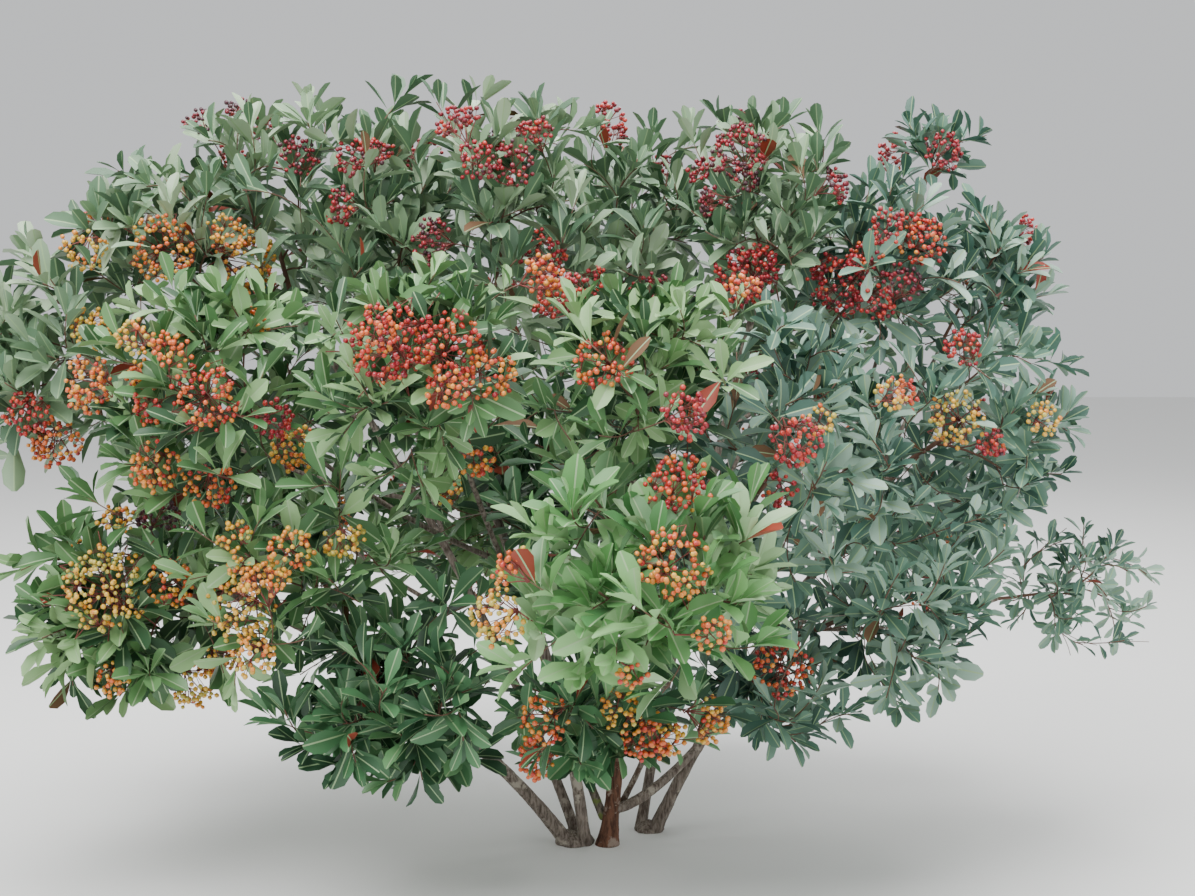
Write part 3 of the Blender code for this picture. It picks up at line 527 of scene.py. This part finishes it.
def grow_limbs():
    """The limbs by name, and each mass's foot and the radius there."""
    limbs = {}
    for stem in STEMS:
        radii = (stem.foot_radius, stem.tip_radius)
        limbs[stem.name] = Limb(stem.name, stem.foot, stem.heading, stem.tip, radii, stem.swell)
    for stem in SIDE_STEMS:
        parent = limbs[stem.parent]
        foot = parent.side_seat(stem.place, stem.heading)
        tip = stem.tip
        if len(tip) == 2:
            tip = limbs[tip[0]].at(tip[1])[0]
        limbs[stem.name] = Limb(stem.name, foot, stem.heading, tip, (stem.foot_radius, stem.tip_radius))
        limbs[stem.name].root = parent.at(stem.place)[0]
    seats = {}
    for mass in MASSES:
        limb = limbs[mass.limb]
        middle = Vector(mass.middle)
        if mass.place == 1:
            seats[mass.name] = (limb.tip, limb.radii[1])
            continue
        inside, _, thickness = limb.at(mass.place)
        if mass.sag is None:
            seats[mass.name] = (limb.side_seat(mass.place, middle), TWIG_FOOT_RADIUS)
            continue
        radius = thickness * BOUGH_TO_PARENT
        if mass.name in OPEN_MASSES:
            radius = min(radius, THICKEST_SPRIG_BOUGH)
        foot = limb.side_seat(mass.place, inside.lerp(middle, 0.5) - UP * mass.sag)
        offset = foot - middle
        spread = math.sqrt(sum((offset[k] / mass.half_sizes[k]) ** 2 for k in range(3)))
        tip = middle + offset * (BOUGH_ENTRY / spread)
        heading = foot.lerp(tip, 0.5) - UP * mass.sag
        bough = Limb("bough_" + mass.name, foot, heading, tip, (radius, radius * BOUGH_TAPER))
        bough.root = inside
        limbs[bough.name] = bough
        seats[mass.name] = (tip, bough.radii[1])
    return limbs, seats


def deselect_all():
    """Leaves nothing selected, in object mode."""
    if bpy.context.mode != "OBJECT":
        bpy.ops.object.mode_set(mode="OBJECT")
    bpy.ops.object.select_all(action="DESELECT")


def apply_relief(piece, name, size, strength):
    """Pushes the surface in and out by a cloudy pattern of this size, and makes it part of the mesh."""
    texture = bpy.data.textures.new(name, "CLOUDS")
    texture.noise_scale = size
    texture.noise_depth = 3
    relief = piece.modifiers.new(name, "DISPLACE")
    relief.texture = texture
    relief.texture_coords = "LOCAL"
    relief.strength = strength
    relief.mid_level = 0.5
    bpy.ops.object.modifier_apply(modifier=relief.name)


def cut_at_ground():
    """Cuts off what is below the ground, and closes the cut."""
    bpy.ops.object.mode_set(mode="EDIT")
    bpy.ops.mesh.select_all(action="SELECT")
    bpy.ops.mesh.bisect(plane_co=(0, 0, 0), plane_no=(0, 0, 1), clear_inner=True, use_fill=True)
    bpy.ops.object.mode_set(mode="OBJECT")


def close_seams():
    """Merges the mesh's doubled points and turns its faces outwards."""
    bpy.ops.object.mode_set(mode="EDIT")
    bpy.ops.mesh.select_all(action="SELECT")
    bpy.ops.mesh.remove_doubles(threshold=0.00005)
    bpy.ops.mesh.normals_make_consistent(inside=False)
    bpy.ops.object.mode_set(mode="OBJECT")


def barked_limb(limb, material):
    """A limb drawn as a bevelled path, made a mesh and given its bark's relief."""
    points, radii = limb.line()
    deselect_all()
    bpy.ops.curve.primitive_nurbs_path_add(location=(0, 0, 0))
    piece = bpy.context.object
    piece.name = "bark_" + limb.name
    curve = piece.data
    curve.splines.clear()
    path = curve.splines.new("POLY")
    path.points.add(len(points) - 1)
    for corner, point, radius in zip(path.points, points, radii):
        corner.co = (*point, 1)
        corner.radius = radius
    curve.dimensions = "3D"
    curve.bevel_depth = 1
    sides = max(2 * round(math.pi * limb.radii[0] / BARK_GRID), FEWEST_SIDES)
    curve.bevel_resolution = sides // 2 - 2
    curve.use_fill_caps = True
    bpy.ops.object.convert(target="MESH")
    piece = bpy.context.object
    close_seams()
    apply_relief(piece, piece.name + "_lumps", LUMP_SIZE, limb.radii[0] * LUMPS_TO_RADIUS)
    apply_relief(piece, piece.name + "_flakes", FLAKE_SIZE, limb.radii[0] * FLAKES_TO_RADIUS)
    if limb.root is None:
        cut_at_ground()
    bpy.ops.object.shade_smooth()
    finish_piece(piece, [material], limb.name)


def root_flare(node, material):
    """The low swelling that stems rise from, worn round."""
    low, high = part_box(node)
    middle = (low + high) / 2
    deselect_all()
    bpy.ops.mesh.primitive_uv_sphere_add(
        segments=40, ring_count=24, radius=1, location=(middle.x, middle.y, 0)
    )
    piece = bpy.context.object
    piece.name = "bark_" + node
    bpy.ops.transform.resize(
        value=((high.x - low.x) / 2, (high.y - low.y) / 2, high.z * FLARE_HEIGHT)
    )
    bpy.ops.object.transform_apply(location=True, rotation=True, scale=True)
    apply_relief(piece, piece.name + "_lumps", FLARE_LUMP_SIZE, FLARE_LUMPS)
    apply_relief(piece, piece.name + "_flakes", FLAKE_SIZE, FLARE_FLAKES)
    cut_at_ground()
    bpy.ops.object.shade_smooth()
    finish_piece(piece, [material], node)


def finish_piece(piece, materials, node):
    """Gives a piece its materials, hangs it on the root body and hides the part that it stands for."""
    for material in materials:
        piece.data.materials.append(material)
    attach(piece, "root")
    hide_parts(node)


# The rooms that masses keep to


def reach(way, half_sizes):
    """How far an ellipsoid reaches in a direction."""
    return math.sqrt(sum((way[k] * half_sizes[k]) ** 2 for k in range(3)))


def point_distance(point, a, b):
    """The distance from a point to the line from a to b."""
    along = b - a
    share = min(max((point - a).dot(along) / along.length_squared, 0), 1)
    return (point - a - along * share).length


def segment_distance(a, b, c, d):
    """The shortest distance between the lines from a to b and from c to d."""
    u, v, w = b - a, d - c, a - c
    uu, uv, vv, uw, vw = u.dot(u), u.dot(v), v.dot(v), u.dot(w), v.dot(w)
    det = uu * vv - uv * uv
    s = min(max((uv * vw - vv * uw) / det, 0), 1) if det > 1e-12 else 0.0
    t = (uv * s + vw) / vv if vv > 1e-12 else 0.0
    if t < 0 or t > 1:
        t = min(max(t, 0), 1)
        s = min(max((uv * t - uw) / uu, 0), 1) if uu > 1e-12 else 0.0
    return (w + u * s - v * t).length


class Crown:
    """The whole crown's inside: the masses' ellipsoids, drawn together where they lie side by side."""

    def __init__(self):
        joined = [mass for mass in MASSES if mass.name not in OPEN_MASSES]
        self.middles = np.array([mass.middle for mass in joined])
        self.half_sizes = np.array([mass.half_sizes for mass in joined])

    def holds(self, points, level=1):
        """Which of these points lie inside, or a little outside where the level is below 1."""
        offsets = (np.atleast_2d(points)[:, None] - self.middles) / self.half_sizes
        pull = np.exp(CROWN_PULL * (1 - (offsets**2).sum(axis=2))).sum(axis=1)
        return pull >= level


class Room:
    """A mass's own space: the crown about its middle, cut by planes to the others, clear of the limbs."""

    def __init__(self, mass, limbs, crown):
        self.middle = Vector(mass.middle)
        self.half_sizes = mass.half_sizes
        self.crown = None if mass.name in OPEN_MASSES else crown
        self.planes = []
        for other in MASSES:
            if other is mass:
                continue
            way = Vector(other.middle) - self.middle
            distance = way.length
            way.normalize()
            own = reach(way, mass.half_sizes)
            share = own / (own + reach(way, other.half_sizes))
            self.planes.append((way, distance * share))
        self.limb_lines = []
        for limb in limbs.values():
            stops = [limb.at(i / LIMB_PIECES) for i in range(LIMB_PIECES + 1)]
            self.limb_lines += [(a[0], b[0], a[2]) for a, b in zip(stops, stops[1:])]

    def holds(self, point):
        """Whether a leaf's tip may lie here: in the room, or just past the plane to the next mass."""
        offset = point - self.middle
        if any(offset.dot(way) > limit + PLANE_SLACK for way, limit in self.planes):
            return False
        if sum((offset[k] / self.half_sizes[k]) ** 2 for k in range(3)) <= 1:
            return True
        return self.crown is not None and bool(self.crown.holds(tuple(point), CROWN_EDGE)[0])

    def clear_of_limbs(self, start, end, half_width):
        """Whether a straight piece of this half width stays clear of every limb."""
        return all(
            segment_distance(start, end, a, b) > radius + half_width + LIMB_MARGIN
            for a, b, radius in self.limb_lines
        )

    def surface(self, way):
        """The furthest point of the room in this direction, and whether it lies on the crown's outside."""
        outside = 1 / math.sqrt(sum((way[k] / self.half_sizes[k]) ** 2 for k in range(3)))
        if self.crown:
            steps = outside * np.linspace(1, CROWN_STRETCH, CROWN_STEPS)
            held = self.crown.holds(np.array(self.middle) + steps[:, None] * np.array(way))
            outside = float(steps[-1] if held.all() else steps[np.argmin(held)])
        distance = outside
        for plane_way, limit in self.planes:
            if way.dot(plane_way) > 1e-6:
                distance = min(distance, limit / way.dot(plane_way))
        return self.middle + way * distance, distance == outside


# How a mass grows

Fork = namedtuple("Fork", "point radius path way")
Spray = namedtuple("Spray", "line axis outside")
Twig = namedtuple("Twig", "line radii")


def bend(start, end, way):
    """Points along a twig that leaves its parent's direction and bends to its own end."""
    length = (end - start).length
    chord = (end - start).normalized()
    turned = (way * PARENT_SHARE + chord * (1 - PARENT_SHARE)).normalized()
    heading = start + turned * length * 0.5
    count = LONG_TWIG_PIECES if length > LONG_TWIG else SHORT_TWIG_PIECES
    line = []
    for i in range(count + 1):
        place = i / count
        line.append(start * (1 - place) ** 2 + heading * 2 * place * (1 - place) + end * place**2)
    return line


def point_along(line, share):
    """The point of a line of evenly spaced points at a share of its length, and the direction there."""
    place = share * (len(line) - 1)
    i = min(int(place), len(line) - 2)
    return line[i].lerp(line[i + 1], place - i), (line[i + 1] - line[i]).normalized()


def forks_along(line, radii, shares, path):
    """Where other twigs can leave this one, with the way back to the mass's foot from each."""
    length = (line[-1] - line[0]).length
    made = []
    for share in shares:
        point, way = point_along(line, share)
        made.append(Fork(point, radii[0] + (radii[1] - radii[0]) * share, path + length * share, way))
    return made


def around(across, side, angle):
    """The direction at an angle about the axis that these two sides stand on."""
    return across * math.cos(angle) + side * math.sin(angle)


def even_directions(count, rng):
    """Directions spread evenly over the sphere, in a random turn."""
    turn = rng.random() * 2 * math.pi
    for i in range(count):
        height = 1 - 2 * (i + 0.5) / count
        across = math.sqrt(1 - height * height)
        angle = turn + i * GOLDEN_ANGLE
        yield Vector((across * math.cos(angle), across * math.sin(angle), height))


class Growth:
    """A mass's twigs as they branch from its one stem."""

    def __init__(self, seat, room):
        self.foot, seat_radius = seat
        self.room = room
        radius = min(TWIG_FOOT_RADIUS, seat_radius)
        radii = (radius, radius * TWIG_TAPER)
        hub = self.foot.lerp(room.middle, STEM_REACH)
        stem = [self.foot.lerp(hub, i / STEM_PIECES) for i in range(STEM_PIECES + 1)]
        self.twigs = [Twig(stem, radii)]
        self.forks = forks_along(stem, radii, STEM_FORKS, 0)
        self.sprays = []

    def grow_to(self, tips, tip_radius):
        """Grows a twig to each tip, the nearest first, from the fork with the shortest way round."""
        for tip, outside in sorted(tips, key=lambda end: (end[0] - self.foot).length):
            fork = min(self.forks, key=lambda free: (tip - free.point).length + FORK_COST * free.path)
            radii = (max(fork.radius * TWIG_TO_PARENT, tip_radius), tip_radius)
            if (tip - fork.point).length < SHORTEST_TWIG:
                continue
            if not self.room.clear_of_limbs(fork.point, tip, tip_radius):
                continue
            line = bend(fork.point, tip, fork.way)
            self.twigs.append(Twig(line, radii))
            self.sprays.append(Spray(line, (line[-1] - line[-2]).normalized(), outside))
            self.forks.remove(fork)
            self.forks.extend(forks_along(line, radii, TWIG_FORKS, fork.path))

    def inside(self, edge, depth):
        """The point this far inside the room's surface, but not too near its middle."""
        share = max(1 - depth / (edge - self.room.middle).length, NEAREST_TIP)
        return self.room.middle.lerp(edge, share)


def grow_twigs(mass, dress, seat, room, rng):
    """A mass's twigs, coarse and then fine, how many are leafy, and the sprays at their ends."""
    growth = Growth(seat, room)
    coarse = []
    for way in even_directions(mass.shoots, rng):
        edge, outside = room.surface(way)
        coarse.append((growth.inside(edge, TIP_DEPTH), outside))
    growth.grow_to(coarse, COARSE_RADIUS)
    fine = []
    for way in even_directions(dress.sprays, rng):
        edge, outside = room.surface(way)
        depth = SPRAY_DEPTH * dress.leaf_size * rng.uniform(*OUTER_DEPTHS)
        if not outside:
            if rng.random() > INNER_SHARE:
                continue
            depth = SPRAY_DEPTH * rng.uniform(*INNER_DEPTHS)
        fine.append((growth.inside(edge, depth), outside))
        if rng.random() < DEEP_CHANCE:
            fine.append((room.middle.lerp(edge, DEEP_REACH), False))
    growth.grow_to(fine, SPRAY_RADIUS)
    leafy = len(growth.twigs)
    sprays = list(growth.sprays)
    bare = []
    for way in even_directions(dress.bare, rng):
        edge = room.surface(way)[0]
        bare.append((room.middle.lerp(edge, rng.uniform(*BARE_REACH)), False))
    growth.grow_to(bare, BARE_RADIUS)
    return growth.twigs, leafy, sprays


def leaf_finish(spray_tint, tint_count, rng):
    """The number of a leaf's finish: its spray's tint, another one, or that of an old or a dry leaf."""
    chance = rng.random()
    shade = spray_tint if chance > OTHER_TINT_CHANCE else rng.randrange(tint_count)
    if chance > 1 - OLD_SHARE:
        return tint_count
    if chance > 1 - OLD_SHARE - DRY_SHARE:
        return tint_count + 1
    return shade


def grow_leaves(dress, room, sprays, kept_free, rng):
    """The leaves of all sprays, each whorled round its twig's end: foot, direction, face and sizes."""
    rows = []
    tint_count = len(LEAF_TINTS[dress.tints])
    for spray in sprays:
        tint = rng.randrange(tint_count) if spray.outside else rng.choice(INNER_TINTS)
        axis = (spray.axis + UP * (AXIS_LIFT + AXIS_LIFT_OF_MASS * dress.lift)).normalized()
        across = axis.orthogonal().normalized()
        side = across.cross(axis)
        turn = rng.uniform(0, 2 * math.pi)
        length = (spray.line[-1] - spray.line[0]).length
        leafy = min(LEAFY_LENGTH, length * LEAFY_SHARE) / length
        count = LEAVES_OUTSIDE if spray.outside else LEAVES_INSIDE
        for k in range(count):
            place = k / (count - 1)
            foot = point_along(spray.line, 1 - leafy * (1 - place))[0]
            out = around(across, side, turn + k * GOLDEN_ANGLE)
            lean = LEAN_LOW + (LEAN_TIP - LEAN_LOW) * place + rng.uniform(-LEAN_JITTER, LEAN_JITTER)
            way = axis * math.cos(lean) + out * math.sin(lean) + UP * dress.lift * LIFT_OF_LEAF
            way.normalize()
            size = LEAF_LENGTH * dress.leaf_size * rng.uniform(*LEAF_LENGTHS) * (1 - TIP_SHORTENING * place)
            if not room.holds(foot + way * size):
                size *= SECOND_SIZE
                if not room.holds(foot + way * size):
                    continue
            middle = foot + way * size * LEAF_MIDDLE
            if any(point_distance(middle, a, b) < radius for a, b, radius in kept_free):
                continue
            if not room.clear_of_limbs(foot + way * size * LEAF_START, foot + way * size, LEAF_CLEARANCE):
                continue
            face = axis + UP * FACE_LIFT
            shade = leaf_finish(tint, tint_count, rng)
            width = size * LEAF_WIDTH_SHARE * rng.uniform(*LEAF_WIDTHS)
            rows.append((*foot, *way, *face, size, width, rng.uniform(*LEAF_DROOP), shade))
    return np.array(rows)


# Berry bunches

Bunch = namedtuple("Bunch", "middle out width ripeness")


def front_of(mass, ray):
    """How far along a ray from the camera a mass's front lies, and how well the ray meets it."""
    offset = CAMERA_PLACE - Vector(mass.middle)
    start = [offset[k] / mass.half_sizes[k] for k in range(3)]
    way = [ray[k] / mass.half_sizes[k] for k in range(3)]
    a = sum(w * w for w in way)
    b = sum(s * w for s, w in zip(start, way))
    c = sum(s * s for s in start) - 1
    inside = b * b - a * c
    if inside < 0:
        # A near miss is put where the ray passes closest
        distance = -b / a
        miss = math.sqrt(c - b * b / a + 1) - 1
        return distance, distance + MISS_COST * miss
    distance = (-b - math.sqrt(inside)) / a
    return distance, distance


def shown_bunches():
    """The bunches that show, each by the mass whose front the camera sees there."""
    found = {mass.name: [] for mass in MASSES}
    for x, z, width, ripeness in SHOWN_BUNCHES:
        ray = (Vector((x, 0, z)) - CAMERA_PLACE).normalized()
        mass = min(MASSES, key=lambda other: front_of(other, ray)[1])
        middle = CAMERA_PLACE + ray * (front_of(mass, ray)[0] + width * BUNCH_SINK)
        out = (middle - Vector(mass.middle)).normalized() - ray * BUNCH_FACING
        found[mass.name].append(Bunch(middle, out.normalized(), width, ripeness))
    return found


def grow_bunches(dress, sprays, shown, rng):
    """A mass's bunches: those that show, and others at its outer sprays' ends."""
    bunches = list(shown)
    outer = [spray for spray in sprays if spray.outside]
    for spray in rng.sample(outer, min(dress.bunches, len(outer))):
        width = rng.uniform(*BUNCH_WIDTHS)
        middle = spray.line[-1] + spray.axis * width * BUNCH_FORWARD
        ripeness = dress.ripeness + rng.uniform(-RIPENESS_OF_BUNCH, RIPENESS_OF_BUNCH)
        bunches.append(Bunch(middle, spray.axis, width, ripeness))
    return bunches


def space_before(bunch):
    """The line and the radius about it that leaves leave free, so that the bunch shows."""
    start = bunch.middle - bunch.out * bunch.width * LEAF_GAP_FOOT
    return start, bunch.middle + bunch.out * bunch.width, bunch.width * LEAF_GAP_RADIUS


def berries_of(bunch, rng):
    """Where a bunch's berries hang, where its stalk ends, and the forks that the berries hang from."""
    out = bunch.out
    across = out.orthogonal().normalized()
    side = across.cross(out)
    wanted = max(int(BERRIES_A_SQUARE_METRE * bunch.width**2), FEWEST_BERRIES)
    places = []
    for _ in range(wanted * TRIES_A_BERRY):
        height = rng.uniform(BUNCH_LOWEST, 1)
        angle = rng.uniform(0, 2 * math.pi)
        spread = math.sqrt(max(1 - height * height, 0))
        out_share = rng.uniform(BUNCH_HOLLOW, 1) ** BUNCH_FILL
        way = around(across, side, angle) * spread + out * height * BUNCH_FLATNESS
        place = bunch.middle + way * (bunch.width / 2 * out_share)
        if all((place - other).length > BERRY_RADIUS * BERRY_SPACING for other in places):
            places.append(place)
        if len(places) == wanted:
            break
    base = bunch.middle - out * bunch.width * BUNCH_BASE
    forks = []
    for i in range(max(wanted // BERRIES_A_FORK, FEWEST_FORKS)):
        way = around(across, side, i * GOLDEN_ANGLE)
        from_middle = way * bunch.width * FORK_SPREAD * math.sqrt(i + 0.5)
        forks.append(bunch.middle + from_middle - out * bunch.width * FORK_DEPTH)
    return places, base, forks


def hang_berries(bunches, twigs, tubes, rng):
    """Adds the stalks of all bunches. The berries come back as rows: place, direction, size and skin."""
    rows = []
    corners = [point for twig in twigs for point in twig.line]
    for bunch in bunches:
        hanging, base, forks = berries_of(bunch, rng)
        holder = min(corners, key=lambda point: (point - base).length)
        if (holder - base).length > STALK_SAG:
            tubes.add([holder, holder.lerp(base, 0.5) - UP * STALK_SAG, base], BUNCH_STALK, 4, STALK)
        for fork in forks:
            tubes.add([base, base.lerp(fork, 0.5) + bunch.out * FORK_RISE, fork], FORK_STALK, 3, STALK)
        for place in hanging:
            fork = min(forks, key=lambda point: (point - place).length)
            tubes.add([fork, place], BERRY_STALK, 3, STALK)
            way = (place - fork) * BERRY_LEAN + UP * BERRY_LIFT + bunch.out * BERRY_OUTWARD
            size = BERRY_RADIUS * rng.uniform(*BERRY_SIZES)
            ripe = round(rng.gauss(bunch.ripeness, RIPENESS_SPREAD))
            rows.append((*place, *way, size, min(max(ripe, 0), len(RIPENESS) - 1)))
    return np.array(rows)


# Meshes from arrays


def mesh_piece(name, points, triangles, indices):
    """A smooth mesh object made of arrays of points, triangles and each triangle's material."""
    mesh = bpy.data.meshes.new(name)
    mesh.vertices.add(len(points))
    mesh.vertices.foreach_set("co", np.ascontiguousarray(points, np.float32).ravel())
    mesh.loops.add(len(triangles) * 3)
    mesh.loops.foreach_set("vertex_index", np.ascontiguousarray(triangles, np.int32).ravel())
    mesh.polygons.add(len(triangles))
    mesh.polygons.foreach_set("loop_start", np.arange(0, len(triangles) * 3, 3, dtype=np.int32))
    mesh.polygons.foreach_set("material_index", np.ascontiguousarray(indices, np.int32))
    mesh.polygons.foreach_set("use_smooth", np.full(len(triangles), True))
    mesh.update()
    mesh.validate()
    piece = bpy.data.objects.new(name, mesh)
    bpy.context.scene.collection.objects.link(piece)
    return piece


def arrays_of(piece):
    """A modelled template's points, triangles and their materials, which are then taken away."""
    mesh = piece.data
    mesh.calc_loop_triangles()
    points = np.array([vertex.co for vertex in mesh.vertices])
    triangles = np.array([triangle.vertices for triangle in mesh.loop_triangles])
    indices = np.array([triangle.material_index for triangle in mesh.loop_triangles])
    bpy.data.objects.remove(piece)
    return points, triangles, indices


def leaf_template():
    """One leaf lying along X: a blade drawn in to its stalk, widest past its middle, and a pale rib."""
    deselect_all()
    rows, columns = len(LEAF_STATIONS) - 1, 3
    bpy.ops.mesh.primitive_grid_add(x_subdivisions=rows, y_subdivisions=columns, size=2)
    piece = bpy.context.object
    for vertex in piece.data.vertices:
        row = round((vertex.co.x + 1) / 2 * rows)
        column = round((vertex.co.y + 1) / 2 * columns)
        place, half_width = LEAF_STATIONS[row]
        rib = min(RIB_SHARE, half_width * WIDEST_RIB)
        vertex.co = (place, (-half_width, -rib, rib, half_width)[column] / 2, 0)
    bpy.ops.object.mode_set(mode="EDIT")
    bpy.ops.mesh.select_all(action="SELECT")
    bpy.ops.mesh.remove_doubles(threshold=0.0001)
    bpy.ops.object.mode_set(mode="OBJECT")
    for face in piece.data.polygons:
        face.material_index = int(abs(face.center.y) < 0.01)
    return arrays_of(piece)


def berry_template():
    """One berry with its stalk's end down: a ball dimpled at its far end, where the flower was."""
    deselect_all()
    bpy.ops.mesh.primitive_uv_sphere_add(segments=6, ring_count=4, radius=1)
    piece = bpy.context.object
    bpy.ops.object.mode_set(mode="EDIT")
    bpy.ops.mesh.select_all(action="DESELECT")
    bpy.ops.object.mode_set(mode="OBJECT")
    for vertex in piece.data.vertices:
        vertex.select = vertex.co.z > 0.99
    bpy.ops.object.mode_set(mode="EDIT")
    bpy.ops.transform.translate(value=(0, 0, -DIMPLE_DEPTH))
    bpy.ops.object.mode_set(mode="OBJECT")
    return arrays_of(piece)


def unit(rows):
    """Rows of directions, each of length 1."""
    return rows / np.linalg.norm(rows, axis=1, keepdims=True)


def stamp_leaves(rows, template, rib):
    """Every leaf's points, triangles and finishes, from the template and the rows."""
    points, triangles, indices = template
    foot, way, face = rows[:, 0:3], unit(rows[:, 3:6]), rows[:, 6:9]
    length, width, droop, shade = rows[:, 9], rows[:, 10], rows[:, 11], rows[:, 12].astype(int)
    side = unit(np.cross(way, face))
    up = np.cross(side, way)
    x, y = points[:, 0], points[:, 1]
    along = length[:, None] * x
    across = width[:, None] * y
    height = width[:, None] * (np.abs(y) * LEAF_FOLD) - (droop * length)[:, None] * x**2
    made = foot[:, None] + along[..., None] * way[:, None]
    made = made + across[..., None] * side[:, None] + height[..., None] * up[:, None]
    faces = triangles[None] + np.arange(len(rows))[:, None, None] * len(points)
    finishes = np.where(indices[None] == 1, rib, shade[:, None])
    return made.reshape(-1, 3), faces.reshape(-1, 3), finishes.ravel()


def stamp_berries(rows, template):
    """Every berry's points, triangles and skins, from the template and the rows."""
    points, triangles, _ = template
    place, up, size = rows[:, 0:3], unit(rows[:, 3:6]), rows[:, 6]
    side = unit(np.cross(up, NOT_UPRIGHT))
    front = np.cross(side, up)
    scaled = points[None] * size[:, None, None]
    made = place[:, None] + scaled[..., :1] * side[:, None]
    made = made + scaled[..., 1:2] * front[:, None] + scaled[..., 2:] * up[:, None]
    faces = triangles[None] + np.arange(len(rows))[:, None, None] * len(points)
    skins = np.repeat(rows[:, 7].astype(int), len(triangles))
    return made.reshape(-1, 3), faces.reshape(-1, 3), skins


class Tubes:
    """Tapering twigs and stalks gathered into one mesh."""

    def __init__(self):
        self.points = []
        self.triangles = []
        self.indices = []
        self.count = 0

    def add(self, line, radii, sides, index):
        """A tube along a line, closed at its end."""
        across = (line[1] - line[0]).orthogonal().normalized()
        last = len(line) - 1
        for i, point in enumerate(line):
            along = (line[min(i + 1, last)] - line[max(i - 1, 0)]).normalized()
            across = (across - along * across.dot(along)).normalized()
            side = along.cross(across)
            radius = radii[0] + (radii[1] - radii[0]) * i / last
            for k in range(sides):
                self.points.append(point + around(across, side, 2 * math.pi * k / sides) * radius)
        for i in range(last):
            for k in range(sides):
                a = self.count + i * sides + k
                b = self.count + i * sides + (k + 1) % sides
                self.triangles += [(a, b, b + sides), (a, b + sides, a + sides)]
        end = self.count + last * sides
        self.triangles += [(end, end + k, end + k + 1) for k in range(1, sides - 1)]
        added = last * sides * 2 + sides - 2
        self.indices += [index] * added
        self.count += (last + 1) * sides

    def piece(self, name):
        """All the tubes as one mesh object."""
        points = np.array([tuple(point) for point in self.points])
        return mesh_piece(name, points, np.array(self.triangles), self.indices)


def dress_mass(mass, seat, limbs, crown, shown, templates, finishes):
    """A mass's twigs, leaves and berries, each kind joined into one piece. Returns how many it has."""
    rng = random.Random(GROWTH_SEED + MASSES.index(mass))
    dress = DRESSES[mass.name]
    room = Room(mass, limbs, crown)
    node = "leaves_" + mass.name
    twigs, leafy, sprays = grow_twigs(mass, dress, seat, room, rng)
    bunches = grow_bunches(dress, sprays, shown, rng)
    leaves = grow_leaves(dress, room, sprays, [space_before(bunch) for bunch in bunches], rng)

    tubes = Tubes()
    for i, twig in enumerate(twigs):
        tubes.add(twig.line, twig.radii, 5 if i <= mass.shoots else 4, LIVING if i < leafy else BARE)
    berries = hang_berries(bunches, twigs, tubes, rng)
    piece = tubes.piece("twigs_" + mass.name)
    finish_piece(piece, [finishes["twig_brown"], finishes["twig_grey"], finishes["twig_red"]], node)

    tints = [finishes[f"{dress.tints}_{i}"] for i in range(len(LEAF_TINTS[dress.tints]))]
    tints += [finishes["old"], finishes["dry"], finishes["rib"]]
    arrays = stamp_leaves(leaves, templates["leaf"], rib=len(tints) - 1)
    finish_piece(mesh_piece("foliage_" + mass.name, *arrays), tints, node)
    if len(berries):
        skins = [finishes[f"berry_{i}"] for i in range(len(RIPENESS))]
        arrays = stamp_berries(berries, templates["berry"])
        finish_piece(mesh_piece("berries_" + mass.name, *arrays), skins, node)
    return len(leaves), len(berries)


# The stage


def make_stage():
    """A plain pale floor, soft light and the photograph's camera."""
    deselect_all()
    bpy.ops.mesh.primitive_plane_add(size=16, location=(0, 2, 0))
    floor = bpy.context.object
    floor.name = "floor"
    floor.data.materials.append(new_material("floor_matt_pale", FLOOR_COLOUR, 0.9))
    world = bpy.data.worlds.new("studio")
    world.use_nodes = True
    sky = world.node_tree.nodes["Background"]
    sky.inputs["Color"].default_value = linear(SKY_COLOUR)
    sky.inputs["Strength"].default_value = SKY_STRENGTH
    bpy.context.scene.world = world
    for name, place, size, power in LIGHTS:
        lamp = bpy.data.lights.new(name, "AREA")
        lamp.size = size
        lamp.energy = power
        made = bpy.data.objects.new(name, lamp)
        made.location = place
        made.rotation_euler = (LIGHT_AIM - Vector(place)).to_track_quat("-Z", "Y").to_euler()
        bpy.context.scene.collection.objects.link(made)
    camera = bpy.data.objects.new("camera", bpy.data.cameras.new("camera"))
    camera.data.lens = CAMERA_LENS
    camera.data.sensor_width = 36
    camera.location = CAMERA_PLACE
    camera.rotation_euler = (math.pi / 2 - CAMERA_PITCH, 0, 0)
    bpy.context.scene.collection.objects.link(camera)
    bpy.context.scene.camera = camera


def main():
    """Builds every piece, then the stage, and prints how many leaves and berries there are."""
    finishes = make_materials()
    limbs, seats = grow_limbs()
    for limb in limbs.values():
        barked_limb(limb, finishes[SLOTS[limb.name]])
    for node in ("root_flare_left", "root_flare_right"):
        root_flare(node, finishes["bark_grey"])
    templates = {"leaf": leaf_template(), "berry": berry_template()}
    shown = shown_bunches()
    crown = Crown()
    counts = [
        dress_mass(mass, seats[mass.name], limbs, crown, shown[mass.name], templates, finishes)
        for mass in MASSES
    ]
    print("leaves", sum(leaves for leaves, _ in counts), "berries", sum(berries for _, berries in counts))
    make_stage()


main()
